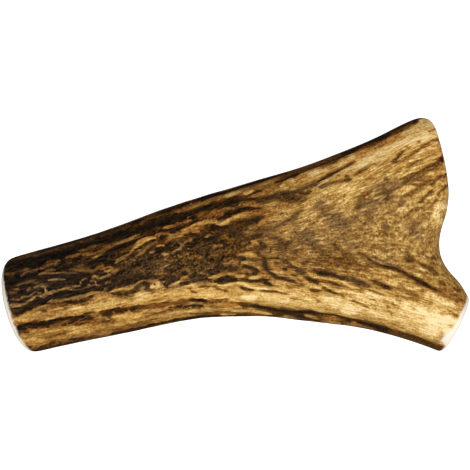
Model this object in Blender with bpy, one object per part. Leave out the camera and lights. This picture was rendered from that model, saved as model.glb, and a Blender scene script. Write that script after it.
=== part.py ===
# A sawn fork of shed deer antler: one piece of grown bone.
# A round beam flares into a flat palm, where two tines begin and are sawn off short.
# Frame: +X from the sawn end of the beam to the fork, +Y from the lower tine to the upper tine,
# +Z up. The antler lies on its back, and the origin is the centre of its footprint.

import math

import bmesh
import bpy
import numpy as np
from mathutils import Vector, noise

MM = 0.001

# Outlines of the antler seen from above, in millimetres from the middle of its outline.
UPPER_EDGE = (
    (-80.2, -8.9),
    (-61.5, -3.6),
    (-47.4, 0.6),
    (-38.6, 3.7),
    (-29.8, 7.1),
    (-12.2, 13.0),
    (5.4, 18.2),
    (23.0, 23.5),
    (40.6, 30.2),
    (51.1, 34.8),
    (58.2, 38.4),
    (68.6, 43.1),
)
LOWER_EDGE = (
    (-71.4, -41.9),
    (-54.4, -38.0),
    (-36.8, -34.5),
    (-26.3, -32.1),
    (-19.2, -30.8),
    (-12.2, -29.7),
    (-5.2, -29.2),
    (5.4, -29.0),
    (14.0, -29.3),
    (23.0, -30.4),
    (40.6, -32.6),
    (51.1, -34.8),
    (61.7, -37.9),
    (73.4, -42.2),
)
UPPER_TINE_CORNER = (75.7, 12.0)
LOWER_TINE_CORNER = (83.2, -22.6)
CROTCH = (
    UPPER_TINE_CORNER,
    (75.2, 7.4),
    (73.5, 2.2),
    (72.6, -3.0),
    (73.2, -8.0),
    (75.8, -12.8),
    (80.0, -17.4),
    LOWER_TINE_CORNER,
)
# The crotch's edge as it ran on up each tine before the tines were sawn off.
CROTCH_BEYOND_UPPER_CUT = (79.1, 18.4)
CROTCH_BEYOND_LOWER_CUT = (87.6, -26.6)

# How far each saw cut leans from upright, in degrees. A plus sign shows its face from above.
BEAM_CUT_LEAN = -12.0
UPPER_TINE_CUT_LEAN = -6.0
LOWER_TINE_CUT_LEAN = 0.0
# The share of the length over which the skin gives way to a leaning cut, at the beam and at the fork.
LEAN_REACH_AT_BEAM = 0.25
LEAN_REACH_AT_FORK = 0.2

# How far the rim of each saw cut is sanded round, in millimetres.
BEAM_RIM = 2.4
TINE_RIM = 1.5
UPPER_CORNER_RIM = 5.2
# The share of the relief that the sanding leaves at a rim, and how far back it reaches.
RELIEF_AT_RIM = 0.3
RIM_SANDING = 5.0

# Half the thickness from the beam's cut to the fork, in millimetres, at these shares of the length.
LENGTH_SHARES = (0.0, 0.25, 0.5, 0.72, 0.88, 1.0)
HALF_THICKNESS = (15.2, 15.3, 14.6, 12.9, 11.6, 11.0)
# How far the back of the antler arches clear of what it lies on, in millimetres.
BACK_CLEARANCE = (0.0, 1.1, 1.4, 1.0, 0.2, 0.0)
# Width of the rounded edges. Inside it the palm is nearly flat.
EDGE_ROUNDING = (18.5, 19.0, 19.0, 17.0, 14.5, 13.0)
CROTCH_ROUNDING = 10.0

# The shallow valley that runs from the crotch back into the palm, as a share of the half thickness.
VALLEY_FRONT = 0.13
VALLEY_BACK = 0.24
VALLEY_WIDTH = 0.17
# The shares of the length where the valley starts and where it has its full depth.
VALLEY_RUN = (0.5, 0.95)

# Ribs of the grown surface: long ridges that wander a little. Heights and lengths in millimetres.
RIB_HEIGHT = 1.0
RIB_LENGTH = 22.0
RIBS_ROUND = 5.2
RIB_WANDER = 0.25
WANDER_LENGTH = 30.0
RIBS_WORN_ON_PALM = 0.62
# The shares of the length where the beam turns into the palm.
PALM_RUN = (0.55, 0.8)
RIBS_LOST_IN_PEARLS = 0.3
# Pearls: small knobs round a band of the beam, placed by share of the length.
PEARL_HEIGHT = 0.9
PEARL_LENGTH = 6.0
PEARLS_ROUND = 5.6
PEARLED_BAND = 0.38
PEARLED_SPREAD = 0.24
# The relief flattens off before it reaches this height or depth.
RELIEF_LIMIT = 1.1
# The share of the relief that the two outline edges have lost to rubbing.
RELIEF_WORN_AT_EDGES = 0.75

# The broad grooves of the upper side: width and depth in millimetres, then points along each.
GROOVES = (
    (2.6, 0.8, ((-77.0, -28.4), (-70.0, -26.0), (-60.5, -22.4), (-48.0, -18.6))),
    (2.4, 0.8, ((-76.4, -32.9), (-65.0, -30.8), (-54.5, -29.2), (-40.0, -26.2), (-22.0, -24.4))),
    (2.4, 0.9, ((0.0, -24.4), (15.0, -26.6), (31.0, -28.0), (45.0, -31.0), (58.0, -35.2), (70.0, -39.8))),
    (2.8, 0.7, ((-78.0, -11.6), (-62.0, -6.8), (-47.0, -2.4), (-30.0, 2.6), (-16.0, 7.4), (0.0, 12.6))),
    (2.2, 0.6, ((-30.0, -3.6), (-15.0, 4.0), (-4.0, 8.2), (5.0, 9.6))),
    (2.4, 0.6, ((12.0, 14.8), (23.0, 16.4), (34.0, 21.6), (45.0, 25.4))),
    (2.4, 0.6, ((20.0, -11.8), (32.0, -14.0), (46.0, -17.0), (56.0, -20.0))),
    (2.4, 0.6, ((46.0, -7.6), (58.0, -12.6), (70.0, -18.4), (80.0, -22.6))),
    (2.2, 0.6, ((54.0, 17.0), (64.0, 22.0), (73.4, 26.2))),
)

# Length of the skin from the beam's cut to the fork, in millimetres.
SKIN_LENGTH = 158.0
RINGS_ALONG_BEAM = 46
STRIPS_ACROSS = 42
STRIPS_ON_UPPER_CUT = 14
STRIPS_ON_LOWER_CUT = 10
FLARE_START = 0.72
# Over how many strips the rounding of a tine's rim dies away towards the crotch.
RIM_FADE_STRIPS = 4


def smooth_path(points, count):
    """Evenly spaced points along one smooth curve through the given ones."""
    knots = np.array(points, float)
    ends = 2 * knots[0] - knots[1], 2 * knots[-1] - knots[-2]
    p = np.vstack([ends[0], knots, ends[1]])
    t = np.linspace(0, 1, 24, endpoint=False)[:, None]
    runs = []
    for a, b, c, d in zip(p, p[1:], p[2:], p[3:]):
        bend = 2 * a - 5 * b + 4 * c - d
        twist = 3 * b - a - 3 * c + d
        runs.append(0.5 * (2 * b + (c - a) * t + bend * t**2 + twist * t**3))
    line = np.vstack(runs + [knots[-1:]])
    far = np.concatenate([[0], np.cumsum(np.linalg.norm(np.diff(line, axis=0), axis=1))])
    even = np.linspace(0, far[-1], count)
    return np.stack([np.interp(even, far, line[:, k]) for k in (0, 1)], axis=1)


def smooth_share(low, high, value):
    """0 below low, 1 above high, and a smooth rise between them."""
    share = np.clip((value - low) / (high - low), 0, 1)
    return share * share * (3 - 2 * share)


def along_length(values, share):
    """A value that changes smoothly along the antler."""
    knots = np.stack([LENGTH_SHARES, values], axis=1)
    line = smooth_path(knots, 200)
    return np.interp(share, line[:, 0], line[:, 1])


def distance_to_path(x, y, path):
    """Distance from each point to a line of short straight runs."""
    nearest = np.full(np.shape(x), np.inf)
    for (ax, ay), (bx, by) in zip(path, path[1:]):
        run_x, run_y = bx - ax, by - ay
        t = ((x - ax) * run_x + (y - ay) * run_y) / (run_x**2 + run_y**2)
        t = np.clip(t, 0, 1)
        nearest = np.minimum(nearest, np.hypot(x - ax - t * run_x, y - ay - t * run_y))
    return nearest


def rounded(distance, radius):
    """Height of a quarter-round edge, from 0 at the edge to 1 past its radius."""
    share = np.clip(distance / radius, 0, 1)
    return np.sqrt(1 - (1 - share) ** 2)


def ring_shares():
    """Where the rings lie along the antler: close together at the rims and at the crotch."""
    near_beam_cut = np.array([0.0, 0.3, 1.0, 2.2]) / SKIN_LENGTH
    steps = np.radians(np.arange(6, -1, -1) * 15.0)
    near_crotch = 1 - CROTCH_ROUNDING * 1.1 * (1 - np.cos(steps)) / SKIN_LENGTH
    between = np.linspace(near_beam_cut[-1], near_crotch[0], RINGS_ALONG_BEAM)[1:-1]
    return np.concatenate([near_beam_cut, between, near_crotch])


def fork_end():
    """The fork's outline from the upper corner to the lower one: saw cut, crotch, saw cut."""
    upper = np.array([UPPER_EDGE[-1], UPPER_TINE_CORNER])
    lower = np.array([LOWER_TINE_CORNER, LOWER_EDGE[-1]])

    def spread(ends, strips):
        share = (1 - np.cos(np.pi * np.arange(strips + 1) / strips)) / 2
        return ends[0] + share[:, None] * (ends[1] - ends[0])

    strips_on_crotch = STRIPS_ACROSS - STRIPS_ON_UPPER_CUT - STRIPS_ON_LOWER_CUT
    crotch = smooth_path(CROTCH, strips_on_crotch + 1)
    return np.vstack([spread(upper, STRIPS_ON_UPPER_CUT), crotch[1:-1], spread(lower, STRIPS_ON_LOWER_CUT)])


def plan_grid(shares):
    """The x and y of every ring's points, from the upper edge to the lower edge."""
    upper = smooth_path(UPPER_EDGE, 400)
    lower = smooth_path(LOWER_EDGE, 400)
    even = np.linspace(0, 1, 400)
    top = np.stack([np.interp(shares, even, upper[:, k]) for k in (0, 1)], axis=1)
    foot = np.stack([np.interp(shares, even, lower[:, k]) for k in (0, 1)], axis=1)
    across = (1 - np.cos(np.pi * np.arange(STRIPS_ACROSS + 1) / STRIPS_ACROSS)) / 2
    straight = top[:, None, :] + across[None, :, None] * (foot - top)[:, None, :]
    bulge = fork_end() - straight[-1]
    flare = np.clip((shares - FLARE_START) / (1 - FLARE_START), 0, 1) ** 2
    grid = straight + flare[:, None, None] * bulge[None, :, :]
    return grid[..., 0], grid[..., 1], across


def sheet_heights(x, y, shares, across):
    """Heights of the upper side and the back of the smooth antler, in millimetres."""
    share = shares[:, None] + 0 * x
    to_upper = distance_to_path(x, y, smooth_path(UPPER_EDGE, 120))
    to_lower = distance_to_path(x, y, smooth_path(LOWER_EDGE, 120))
    crotch = smooth_path((CROTCH_BEYOND_UPPER_CUT, *CROTCH, CROTCH_BEYOND_LOWER_CUT), 60)
    to_crotch = distance_to_path(x, y, crotch)
    radius = np.minimum((to_upper + to_lower) / 2, along_length(EDGE_ROUNDING, share))
    section = rounded(np.minimum(to_upper, to_lower), radius) * rounded(to_crotch, CROTCH_ROUNDING)
    section[:, 0] = section[:, -1] = 0.0
    section[-1, STRIPS_ON_UPPER_CUT : STRIPS_ACROSS - STRIPS_ON_LOWER_CUT + 1] = 0.0
    half = along_length(HALF_THICKNESS, share) * section
    valley = np.exp(-(((across[None, :] - 0.5) / VALLEY_WIDTH) ** 2)) * smooth_share(*VALLEY_RUN, share)
    middle = along_length(HALF_THICKNESS, share) + along_length(BACK_CLEARANCE, share)
    return middle + half * (1 - VALLEY_FRONT * valley), middle - half * (1 - VALLEY_BACK * valley)


def lean(x, y, middle, side_z, share, edge, degrees):
    """Shifts the points near a saw cut so that the cut leans. edge runs clockwise, seen from above."""
    (ax, ay), (bx, by) = edge
    size = math.hypot(bx - ax, by - ay)
    out = Vector(((ay - by) / size, (bx - ax) / size))
    shift = -math.tan(math.radians(degrees)) * (side_z - middle) * share
    return x + out.x * shift, y + out.y * shift


def grown_relief(along, angle, share, x, y, upper_side):
    """Height of the ribs, pearls and broad grooves at one point of the skin, in millimetres."""
    ring = Vector((0, math.cos(angle), math.sin(angle)))
    wander = RIB_WANDER * noise.noise(Vector((along / WANDER_LENGTH, 2 * ring.y, 2 * ring.z)))
    ribs_at = Vector((along / RIB_LENGTH, 0, 0)) + ring * (RIBS_ROUND + wander)
    pearls_at = Vector((along / PEARL_LENGTH, 7.0, 0)) + ring * PEARLS_ROUND
    on_palm = float(smooth_share(*PALM_RUN, share))
    pearled = math.exp(-(((share - PEARLED_BAND) / PEARLED_SPREAD) ** 2))
    rib_height = RIB_HEIGHT * (1 - RIBS_WORN_ON_PALM * on_palm - RIBS_LOST_IN_PEARLS * pearled)
    height = rib_height * noise.noise(ribs_at) + PEARL_HEIGHT * pearled * noise.noise(pearls_at)
    if upper_side:
        for width, depth, points in GROOVES:
            away = float(distance_to_path(x, y, points))
            height -= depth * math.exp(-((away / (0.6 * width)) ** 2))
    height *= 1 - RELIEF_WORN_AT_EDGES * math.cos(angle) ** 6
    return RELIEF_LIMIT * math.tanh(height / RELIEF_LIMIT)


def rim_inset(distance, radius):
    """How far the skin is worn back at a distance from a saw cut whose rim has this radius."""
    past = max(radius - distance, 0.0)
    return radius - math.sqrt(radius**2 - past**2)


def antler_mesh():
    """The antler as one closed mesh, ring by ring from the beam's saw cut to the fork."""
    shares = ring_shares()
    x, y, across = plan_grid(shares)
    upper_z, back_z = sheet_heights(x, y, shares, across)
    middle = (along_length(HALF_THICKNESS, shares) + along_length(BACK_CLEARANCE, shares))[:, None]
    last = STRIPS_ACROSS
    first_lower = last - STRIPS_ON_LOWER_CUT
    columns = np.arange(last + 1)
    on_upper_cut = 1 - smooth_share(STRIPS_ON_UPPER_CUT, STRIPS_ON_UPPER_CUT + 3, columns)
    on_lower_cut = smooth_share(first_lower - 3, first_lower, columns)
    near_beam_cut = 1 - smooth_share(0, LEAN_REACH_AT_BEAM, shares)[:, None]
    near_fork = smooth_share(1 - LEAN_REACH_AT_FORK, 1, shares)[:, None]
    sides = []
    for side_z in (upper_z, back_z):
        sx, sy = lean(x, y, middle, side_z, near_beam_cut, (LOWER_EDGE[0], UPPER_EDGE[0]), BEAM_CUT_LEAN)
        cuts = (
            (on_upper_cut, (UPPER_EDGE[-1], UPPER_TINE_CORNER), UPPER_TINE_CUT_LEAN),
            (on_lower_cut, (LOWER_TINE_CORNER, LOWER_EDGE[-1]), LOWER_TINE_CUT_LEAN),
        )
        for cut_columns, edge, degrees in cuts:
            sx, sy = lean(sx, sy, middle, side_z, near_fork * cut_columns, edge, degrees)
        sides.append(np.stack([sx, sy, side_z], axis=2))

    bm = bmesh.new()
    rings, facts = [], {}
    for i, share in enumerate(shares):
        ring = []
        for k in range(2 * last):
            side, column = (0, k) if k <= last else (1, 2 * last - k)
            at_crotch = i == len(shares) - 1 and STRIPS_ON_UPPER_CUT <= column <= first_lower
            if side and at_crotch:
                ring.append(ring[column])
                continue
            point = sides[side][i, column]
            ring.append(bm.verts.new(point * MM))
            facts[ring[-1]] = (i, column, side, math.pi * k / last)
        rings.append(ring)
    for ring, following in zip(rings, rings[1:]):
        for k in range(2 * last):
            n = (k + 1) % (2 * last)
            corners = [ring[k], ring[n], following[n], following[k]]
            bm.faces.new(list(dict.fromkeys(corners)))
    bm.normal_update()

    beam_cut = rings[0]
    upper_cut = rings[-1][: STRIPS_ON_UPPER_CUT + 1] + rings[-1][2 * last - STRIPS_ON_UPPER_CUT + 1 :]
    lower_cut = rings[-1][first_lower : 2 * last - first_lower]
    shape_skin(bm, facts, shares, {"beam": beam_cut, "upper": upper_cut, "lower": lower_cut})
    for rim in (beam_cut, upper_cut, lower_cut):
        bm.faces.new(rim)
    bmesh.ops.recalc_face_normals(bm, faces=bm.faces)
    return bm


def cut_normal(rim):
    """The line square to a saw cut, from the points round its rim."""
    centre = sum((v.co for v in rim), Vector()) / len(rim)
    turn = Vector()
    for a, b in zip(rim, rim[1:] + rim[:1]):
        turn += (a.co - centre).cross(b.co - centre)
    return turn.normalized()


def shape_skin(bm, facts, shares, rims):
    """Raises the relief along the skin's normals and rounds the rims, keeping the saw cuts flat."""
    moves = {}
    first_lower = STRIPS_ACROSS - STRIPS_ON_LOWER_CUT
    normals = {name: cut_normal(rim) for name, rim in rims.items()}
    rim_of = {v: name for name, rim in rims.items() for v in rim}
    for vert, (i, column, side, angle) in facts.items():
        direction = vert.normal.copy()
        if vert in rim_of:
            flat = normals[rim_of[vert]]
            direction = (direction - direction.dot(flat) * flat).normalized()
        share = shares[i]
        from_beam_cut = share * SKIN_LENGTH
        from_fork = (1 - share) * SKIN_LENGTH
        strips_past_cut = min(column - STRIPS_ON_UPPER_CUT, first_lower - column)
        off_cut = float(smooth_share(-RIM_FADE_STRIPS, 1, strips_past_cut))
        corner = max(0.0, math.cos(angle)) ** 4
        tine_rim = TINE_RIM + (UPPER_CORNER_RIM - TINE_RIM) * corner
        here = vert.co / MM
        worn = rim_inset(from_beam_cut, BEAM_RIM) + (1 - off_cut) * rim_inset(from_fork, tine_rim)
        relief = grown_relief(from_beam_cut, angle, share, here.x, here.y, side == 0)
        relief *= 1 - off_cut * max(0.0, 1 - from_fork / CROTCH_ROUNDING)
        sanded = smooth_share(0, RIM_SANDING, min(from_beam_cut, from_fork))
        relief *= RELIEF_AT_RIM + (1 - RELIEF_AT_RIM) * float(sanded)
        moves[vert] = direction * (relief - worn) * MM
    for vert, move in moves.items():
        vert.co += move


def antler_material():
    """Brown grown bone with a dull polish."""
    material = bpy.data.materials.new("antler")
    material.use_nodes = True
    shader = material.node_tree.nodes["Principled BSDF"]
    shader.inputs["Base Color"].default_value = (0.33, 0.19, 0.075, 1)
    shader.inputs["Roughness"].default_value = 0.5
    shader.inputs["Metallic"].default_value = 0.0
    return material


def build():
    """Makes the antler, with the centre of its footprint at the origin."""
    for obj in list(bpy.data.objects):
        bpy.data.objects.remove(obj)
    bm = antler_mesh()
    mesh = bpy.data.meshes.new("antler")
    bm.to_mesh(mesh)
    bm.free()
    mesh.materials.append(antler_material())
    mesh.shade_smooth()
    mesh.set_sharp_from_angle(angle=math.radians(50))
    antler = bpy.data.objects.new("antler", mesh)
    bpy.context.scene.collection.objects.link(antler)
    corners = np.array([v.co for v in mesh.vertices])
    low, high = corners.min(axis=0), corners.max(axis=0)
    antler.location = (-(low[0] + high[0]) / 2, -(low[1] + high[1]) / 2, -low[2])


build()
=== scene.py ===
import math

import bpy
import numpy as np
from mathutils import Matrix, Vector, noise


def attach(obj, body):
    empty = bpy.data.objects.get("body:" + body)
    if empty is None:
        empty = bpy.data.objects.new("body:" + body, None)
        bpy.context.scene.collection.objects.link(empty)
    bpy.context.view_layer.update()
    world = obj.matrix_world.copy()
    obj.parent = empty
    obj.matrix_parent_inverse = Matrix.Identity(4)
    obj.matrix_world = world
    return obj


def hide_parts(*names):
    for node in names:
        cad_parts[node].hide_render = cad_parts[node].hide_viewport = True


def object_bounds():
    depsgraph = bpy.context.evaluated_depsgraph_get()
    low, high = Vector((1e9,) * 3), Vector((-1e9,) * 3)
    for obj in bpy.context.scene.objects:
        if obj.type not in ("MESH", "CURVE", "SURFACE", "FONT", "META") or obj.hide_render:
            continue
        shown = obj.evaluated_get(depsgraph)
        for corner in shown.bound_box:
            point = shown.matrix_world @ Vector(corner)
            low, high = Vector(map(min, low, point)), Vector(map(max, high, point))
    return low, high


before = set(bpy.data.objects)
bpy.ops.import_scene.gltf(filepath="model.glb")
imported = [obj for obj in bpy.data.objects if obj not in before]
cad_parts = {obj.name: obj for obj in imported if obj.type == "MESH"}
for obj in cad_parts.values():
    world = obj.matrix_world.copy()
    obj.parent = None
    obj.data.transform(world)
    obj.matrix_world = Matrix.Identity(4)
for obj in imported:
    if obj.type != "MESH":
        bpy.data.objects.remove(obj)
cad_low, cad_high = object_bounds()
bpy.ops.object.select_all(action="DESELECT")

# The antler: one piece of solid bone that grew as a beam and spread into a fork.
# It was shed whole, sawn to length in three places, and rubbed smooth.
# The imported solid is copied, and its sawn faces get rings and a grid so that they can be worked.
MM = 0.001
MERGE_WITHIN = 1e-6
ONE_PLANE = 0.99996
# Middle of each cut in millimetres, the way it faces, and the rows and finer cuts of its grid.
SAW_CUTS = {
    "beam": ((-77.06, -25.25, 15.35), (-0.94512, -0.25203, -0.20791), 21, 0),
    "upper_tine": ((71.36, 25.64, 11.16), (0.96958, 0.22135, -0.10453), 7, 1),
    "lower_tine": ((77.31, -31.72, 11.16), (0.89443, -0.44721, 0.0), 5, 1),
}
RIM_RING = 0.6 * MM
BONE_RING = 1.4 * MM
QUAD_BEND = math.radians(70)

antler_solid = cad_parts["antler"]
antler_solid.select_set(True)
bpy.context.view_layer.objects.active = antler_solid
bpy.ops.object.duplicate()
antler = bpy.context.active_object
antler.name = "grown_antler"
skin = bpy.data.materials.new("rubbed_antler_skin")
sawn_bone = bpy.data.materials.new("sawn_bone")
antler.data.materials.clear()
antler.data.materials.append(skin)
antler.data.materials.append(sawn_bone)

bpy.ops.object.mode_set(mode="EDIT")
bpy.ops.mesh.select_mode(type="FACE")
bpy.ops.mesh.select_all(action="SELECT")
bpy.ops.mesh.remove_doubles(threshold=MERGE_WITHIN)
for middle, facing, rows, finer in SAW_CUTS.values():
    bpy.ops.mesh.select_all(action="DESELECT")
    bpy.ops.object.mode_set(mode="OBJECT")
    for face in antler.data.polygons:
        face.select = face.normal.dot(Vector(facing).normalized()) > ONE_PLANE
    bpy.ops.object.mode_set(mode="EDIT")
    bpy.ops.mesh.dissolve_faces()
    antler.active_material_index = 1
    bpy.ops.object.material_slot_assign()
    bpy.ops.mesh.inset(thickness=RIM_RING)
    bpy.ops.mesh.inset(thickness=BONE_RING)
    bpy.ops.mesh.delete(type="FACE")
    bpy.ops.mesh.select_mode(type="EDGE")
    bpy.ops.mesh.select_non_manifold(extend=False, use_wire=False, use_multi_face=False, use_verts=False)
    bpy.ops.mesh.fill_grid(span=rows)
    bpy.ops.mesh.select_mode(type="FACE")
    if finer:
        bpy.ops.mesh.subdivide(number_cuts=finer)
    bpy.ops.object.material_slot_assign()
bpy.ops.mesh.select_all(action="SELECT")
bpy.ops.mesh.normals_make_consistent(inside=False)
bpy.ops.mesh.tris_convert_to_quads(face_threshold=QUAD_BEND, shape_threshold=QUAD_BEND, materials=True)
bpy.ops.object.mode_set(mode="OBJECT")
evened = antler.modifiers.new("evened", "SUBSURF")
evened.levels = evened.render_levels = 2
bpy.ops.object.modifier_apply(modifier=evened.name)

# The grain: the bone's fibres run from the sawn beam to the fork and spread out with the palm.
# Each point of the skin gets its place along them, across them, and round to the back.
# Edges in millimetres, as in the solid's own source, moved to the middle of its footprint.
FOOTPRINT_MIDDLE = np.array((1.256, -0.141))
LIFT = 0.164
UPPER_EDGE = (
    (-80.2, -8.9), (-61.5, -3.6), (-47.4, 0.6), (-38.6, 3.7), (-29.8, 7.1), (-12.2, 13.0),
    (5.4, 18.2), (23.0, 23.5), (40.6, 30.2), (51.1, 34.8), (58.2, 38.4), (68.6, 43.1),
)
LOWER_EDGE = (
    (-71.4, -41.9), (-54.4, -38.0), (-36.8, -34.5), (-26.3, -32.1), (-19.2, -30.8), (-12.2, -29.7),
    (-5.2, -29.2), (5.4, -29.0), (14.0, -29.3), (23.0, -30.4), (40.6, -32.6), (51.1, -34.8),
    (61.7, -37.9), (73.4, -42.2),
)
LENGTH_SHARES = (0.0, 0.25, 0.5, 0.72, 0.88, 1.0)
HALF_THICKNESS = (15.2, 15.3, 14.6, 12.9, 11.6, 11.0)
BACK_CLEARANCE = (0.0, 1.1, 1.4, 1.0, 0.2, 0.0)
GRAIN_LENGTH = 158.0
GRAIN_RADIUS = 16.0
PALM_PARTING = 3.6
EDGE_STEPS = 400
HALVINGS = 24
POINTS_A_RUN = 24


def even_points(points, count):
    """Evenly spaced points along one smooth curve through the given ones."""
    knots = np.array(points, float)
    ends = 2 * knots[0] - knots[1], 2 * knots[-1] - knots[-2]
    p = np.vstack([ends[0], knots, ends[1]])
    t = np.linspace(0, 1, POINTS_A_RUN, endpoint=False)[:, None]
    runs = []
    for a, b, c, d in zip(p, p[1:], p[2:], p[3:]):
        bend = 2 * a - 5 * b + 4 * c - d
        twist = 3 * b - a - 3 * c + d
        runs.append(0.5 * (2 * b + (c - a) * t + bend * t**2 + twist * t**3))
    line = np.vstack(runs + [knots[-1:]])
    far = np.concatenate([[0], np.cumsum(np.linalg.norm(np.diff(line, axis=0), axis=1))])
    even = np.linspace(0, far[-1], count)
    return np.stack([np.interp(even, far, line[:, k]) for k in (0, 1)], axis=1)


def rise_between(low, high, value):
    """0 below low, 1 above high, and a smooth rise between them."""
    share = np.clip((value - low) / (high - low), 0, 1)
    return share * share * (3 - 2 * share)


upper_edge = even_points(UPPER_EDGE, EDGE_STEPS) - FOOTPRINT_MIDDLE
lower_edge = even_points(LOWER_EDGE, EDGE_STEPS) - FOOTPRINT_MIDDLE


def across_line(share):
    """The two ends of the straight line across the grain, at a share of the antler's length."""
    inside = np.clip(share, 0, 1) * (EDGE_STEPS - 1)
    steps = np.arange(EDGE_STEPS)
    ends = []
    for edge in (upper_edge, lower_edge):
        point = np.stack([np.interp(inside, steps, edge[:, k]) for k in (0, 1)], axis=-1)
        before = np.minimum(share, 0)[:, None] * (edge[1] - edge[0])
        after = np.maximum(share - 1, 0)[:, None] * (edge[-1] - edge[-2])
        ends.append(point + (before + after) * (EDGE_STEPS - 1))
    return ends


mesh = antler.data
count = len(mesh.vertices)
places = np.empty(count * 3)
mesh.vertices.foreach_get("co", places)
places = places.reshape(-1, 3) / MM
normals = np.empty(count * 3)
mesh.vertices.foreach_get("normal", normals)
normals = normals.reshape(-1, 3)

# The share of the length that each point lies at is closed in on from both sides.
low_share = np.full(count, -0.15)
high_share = np.full(count, 1.25)
for _ in range(HALVINGS):
    share = (low_share + high_share) / 2
    top, foot = across_line(share)
    run, out = foot - top, places[:, :2] - top
    beyond = run[:, 0] * out[:, 1] - run[:, 1] * out[:, 0] > 0
    low_share = np.where(beyond, share, low_share)
    high_share = np.where(beyond, high_share, share)
top, foot = across_line(share)
run, out = foot - top, places[:, :2] - top
across = np.sum(run * out, axis=1) / np.sum(run * run, axis=1)
half = np.interp(share, LENGTH_SHARES, HALF_THICKNESS)
mid_height = half + np.interp(share, LENGTH_SHARES, BACK_CLEARANCE) + LIFT
rise = (places[:, 2] - mid_height) / half
# In the palm the fibres part from its middle line towards the two tines.
parting = np.exp(math.log(PALM_PARTING) * rise_between(0.28, 1.02, share))
within = np.pi * np.clip(across, 0, 1)
grain_across = np.arctan2(np.sin(within) * parting, np.cos(within)) / np.pi
round_edge = GRAIN_RADIUS / 2 * np.tanh(2 * rise)
grain = np.stack([share * GRAIN_LENGTH, GRAIN_RADIUS * (1 - 2 * grain_across), round_edge], axis=1)

# The markings: sap and soil stained the furrows nearly black, and rubbing left the ridges between
# them pale. Each streak is placed where the antler has it, in pixels of the 470-pixel view
# from straight above: its tone from 0, black, to 1, cream; its warmth from -1, grey, to 1, orange;
# its width; and then the x and y of each point along it.
LENS = 110.0
SENSOR = 36.0
VIEW_PIXELS = 470
EYE = np.array((-1.15, -0.21, 520.7))
STRETCH = LENS / SENSOR * VIEW_PIXELS


def seen_at(x, y, z):
    """Where a point in millimetres lies in the view from above."""
    near = STRETCH / (EYE[2] - z)
    return np.stack([VIEW_PIXELS / 2 + (x - EYE[0]) * near, VIEW_PIXELS / 2 - (y - EYE[1]) * near], axis=1)


def rough(points, along, round_, start=0.0):
    """Smooth noise on the grain, drawn out along it: one value for each point."""
    scale = np.array((1 / along, 1 / round_, 1 / round_))
    moved = points * scale + start
    return np.array([noise.noise(Vector(p)) for p in moved])


# The back carries on the same streaks from both edges, slid along the grain and out of step.
inner = rise_between(0.0, 0.3, np.minimum(across, 1 - across)) * (1 - rise_between(0.8, 0.97, share))
slid_share = share - 0.13 * inner * np.sin(4 * across + 1)
slid_across = across + 0.06 * inner * np.sin(9 * share)
slid_top, slid_foot = across_line(slid_share)
slid = slid_top + slid_across[:, None] * (slid_foot - slid_top)
seen_front = seen_at(places[:, 0], places[:, 1], places[:, 2])
seen_back = seen_at(slid[:, 0], slid[:, 1], mid_height)
drawn = np.where(rise[:, None] < 0, seen_back, seen_front)
drawn[:, 0] += 0.8 * rough(grain, 9, 2.5, 3.0)
drawn[:, 1] += 0.6 * rough(grain, 7, 1.6, 11.0)
ragged = rough(grain, 4.5, 0.9, 23.0)
# On the steep sides the streaks wander, each level of the side having its own.
on_side = 1 - rise_between(0.05, 0.32, np.abs(rise))
inward = np.where(across < 0.5, 1, -1)
drawn[:, 0] += on_side * (14 * rough(grain, 25, 3.5, 37.0) + 8 * rise)
drawn[:, 1] += on_side * inward * (4 + 9 * rough(grain, 16, 3, 31.0))

# Broad stretches of one shade: tone of the bone, warmth, share of it that is stained, width, points.
BROAD_WASHES = (
    (0.45, 0.3, 0.95, 14, 2, 262, 60, 249, 130, 227, 200, 203, 280, 178, 340, 157, 418, 118),
    (0.46, 0.3, 0.88, 26, 5, 280, 45, 278, 100, 266, 150, 258, 200, 252, 235, 255),
    (0.52, 0.5, 0.68, 16, 90, 250, 130, 243, 180, 232, 230, 220, 262, 215),
    (0.62, 0.2, 0.22, 16, 12, 322, 60, 312, 100, 306, 150, 300, 200, 292),
    (0.57, 0.1, 0.18, 13, 25, 340, 80, 332, 130, 322, 180, 316, 240, 314),
    (0.76, 0.1, 0.06, 14, 190, 293, 240, 295, 290, 298, 340, 300, 380, 303, 430, 318, 455, 325),
    (0.56, 0.4, 0.30, 8, 180, 211, 240, 192, 290, 176, 340, 160, 375, 147, 400, 140),
    (0.54, 0.2, 0.74, 24, 228, 240, 240, 248, 258, 252),
    (0.60, 0.2, 0.46, 18, 243, 268, 262, 266, 300, 272, 335, 284),
    (0.56, 0.0, 0.66, 9, 238, 234, 262, 228, 278, 222, 292, 213, 302, 209),
    (0.72, 0.0, 0.14, 38, 290, 210, 340, 200, 400, 190, 440, 190),
    (0.66, 0.0, 0.28, 44, 290, 245, 350, 235, 430, 235),
    (0.68, 0.1, 0.20, 16, 360, 268, 400, 282, 450, 306),
    (0.76, 0.3, 0.10, 10, 340, 172, 370, 156, 400, 146, 432, 134),
    (0.50, 0.2, 0.66, 6, 270, 314, 300, 316, 350, 324, 400, 336, 441, 350),
    (0.60, -0.5, 0.40, 18, 366, 204, 378, 198, 396, 186),
    (0.58, -0.1, 0.36, 20, 300, 241, 325, 244, 350, 247),
    (0.58, -0.4, 0.42, 14, 316, 204, 330, 214, 342, 224),
    (0.57, -0.5, 0.42, 12, 370, 196, 384, 186),
    (0.55, -0.4, 0.44, 12, 304, 232, 314, 246),
    (0.61, -0.3, 0.36, 9, 412, 226, 420, 236),
    (0.56, 0.0, 0.48, 12, 280, 250, 296, 250),
    (0.60, 0.2, 0.26, 10, 442, 284, 462, 294),
    (0.50, 0.3, 0.46, 12, 322, 262, 340, 262, 364, 265),
    (0.56, 0.1, 0.40, 12, 412, 185, 428, 182, 440, 178),
    (0.48, 0.0, 0.60, 9, 284, 198, 304, 200),
)
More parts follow.
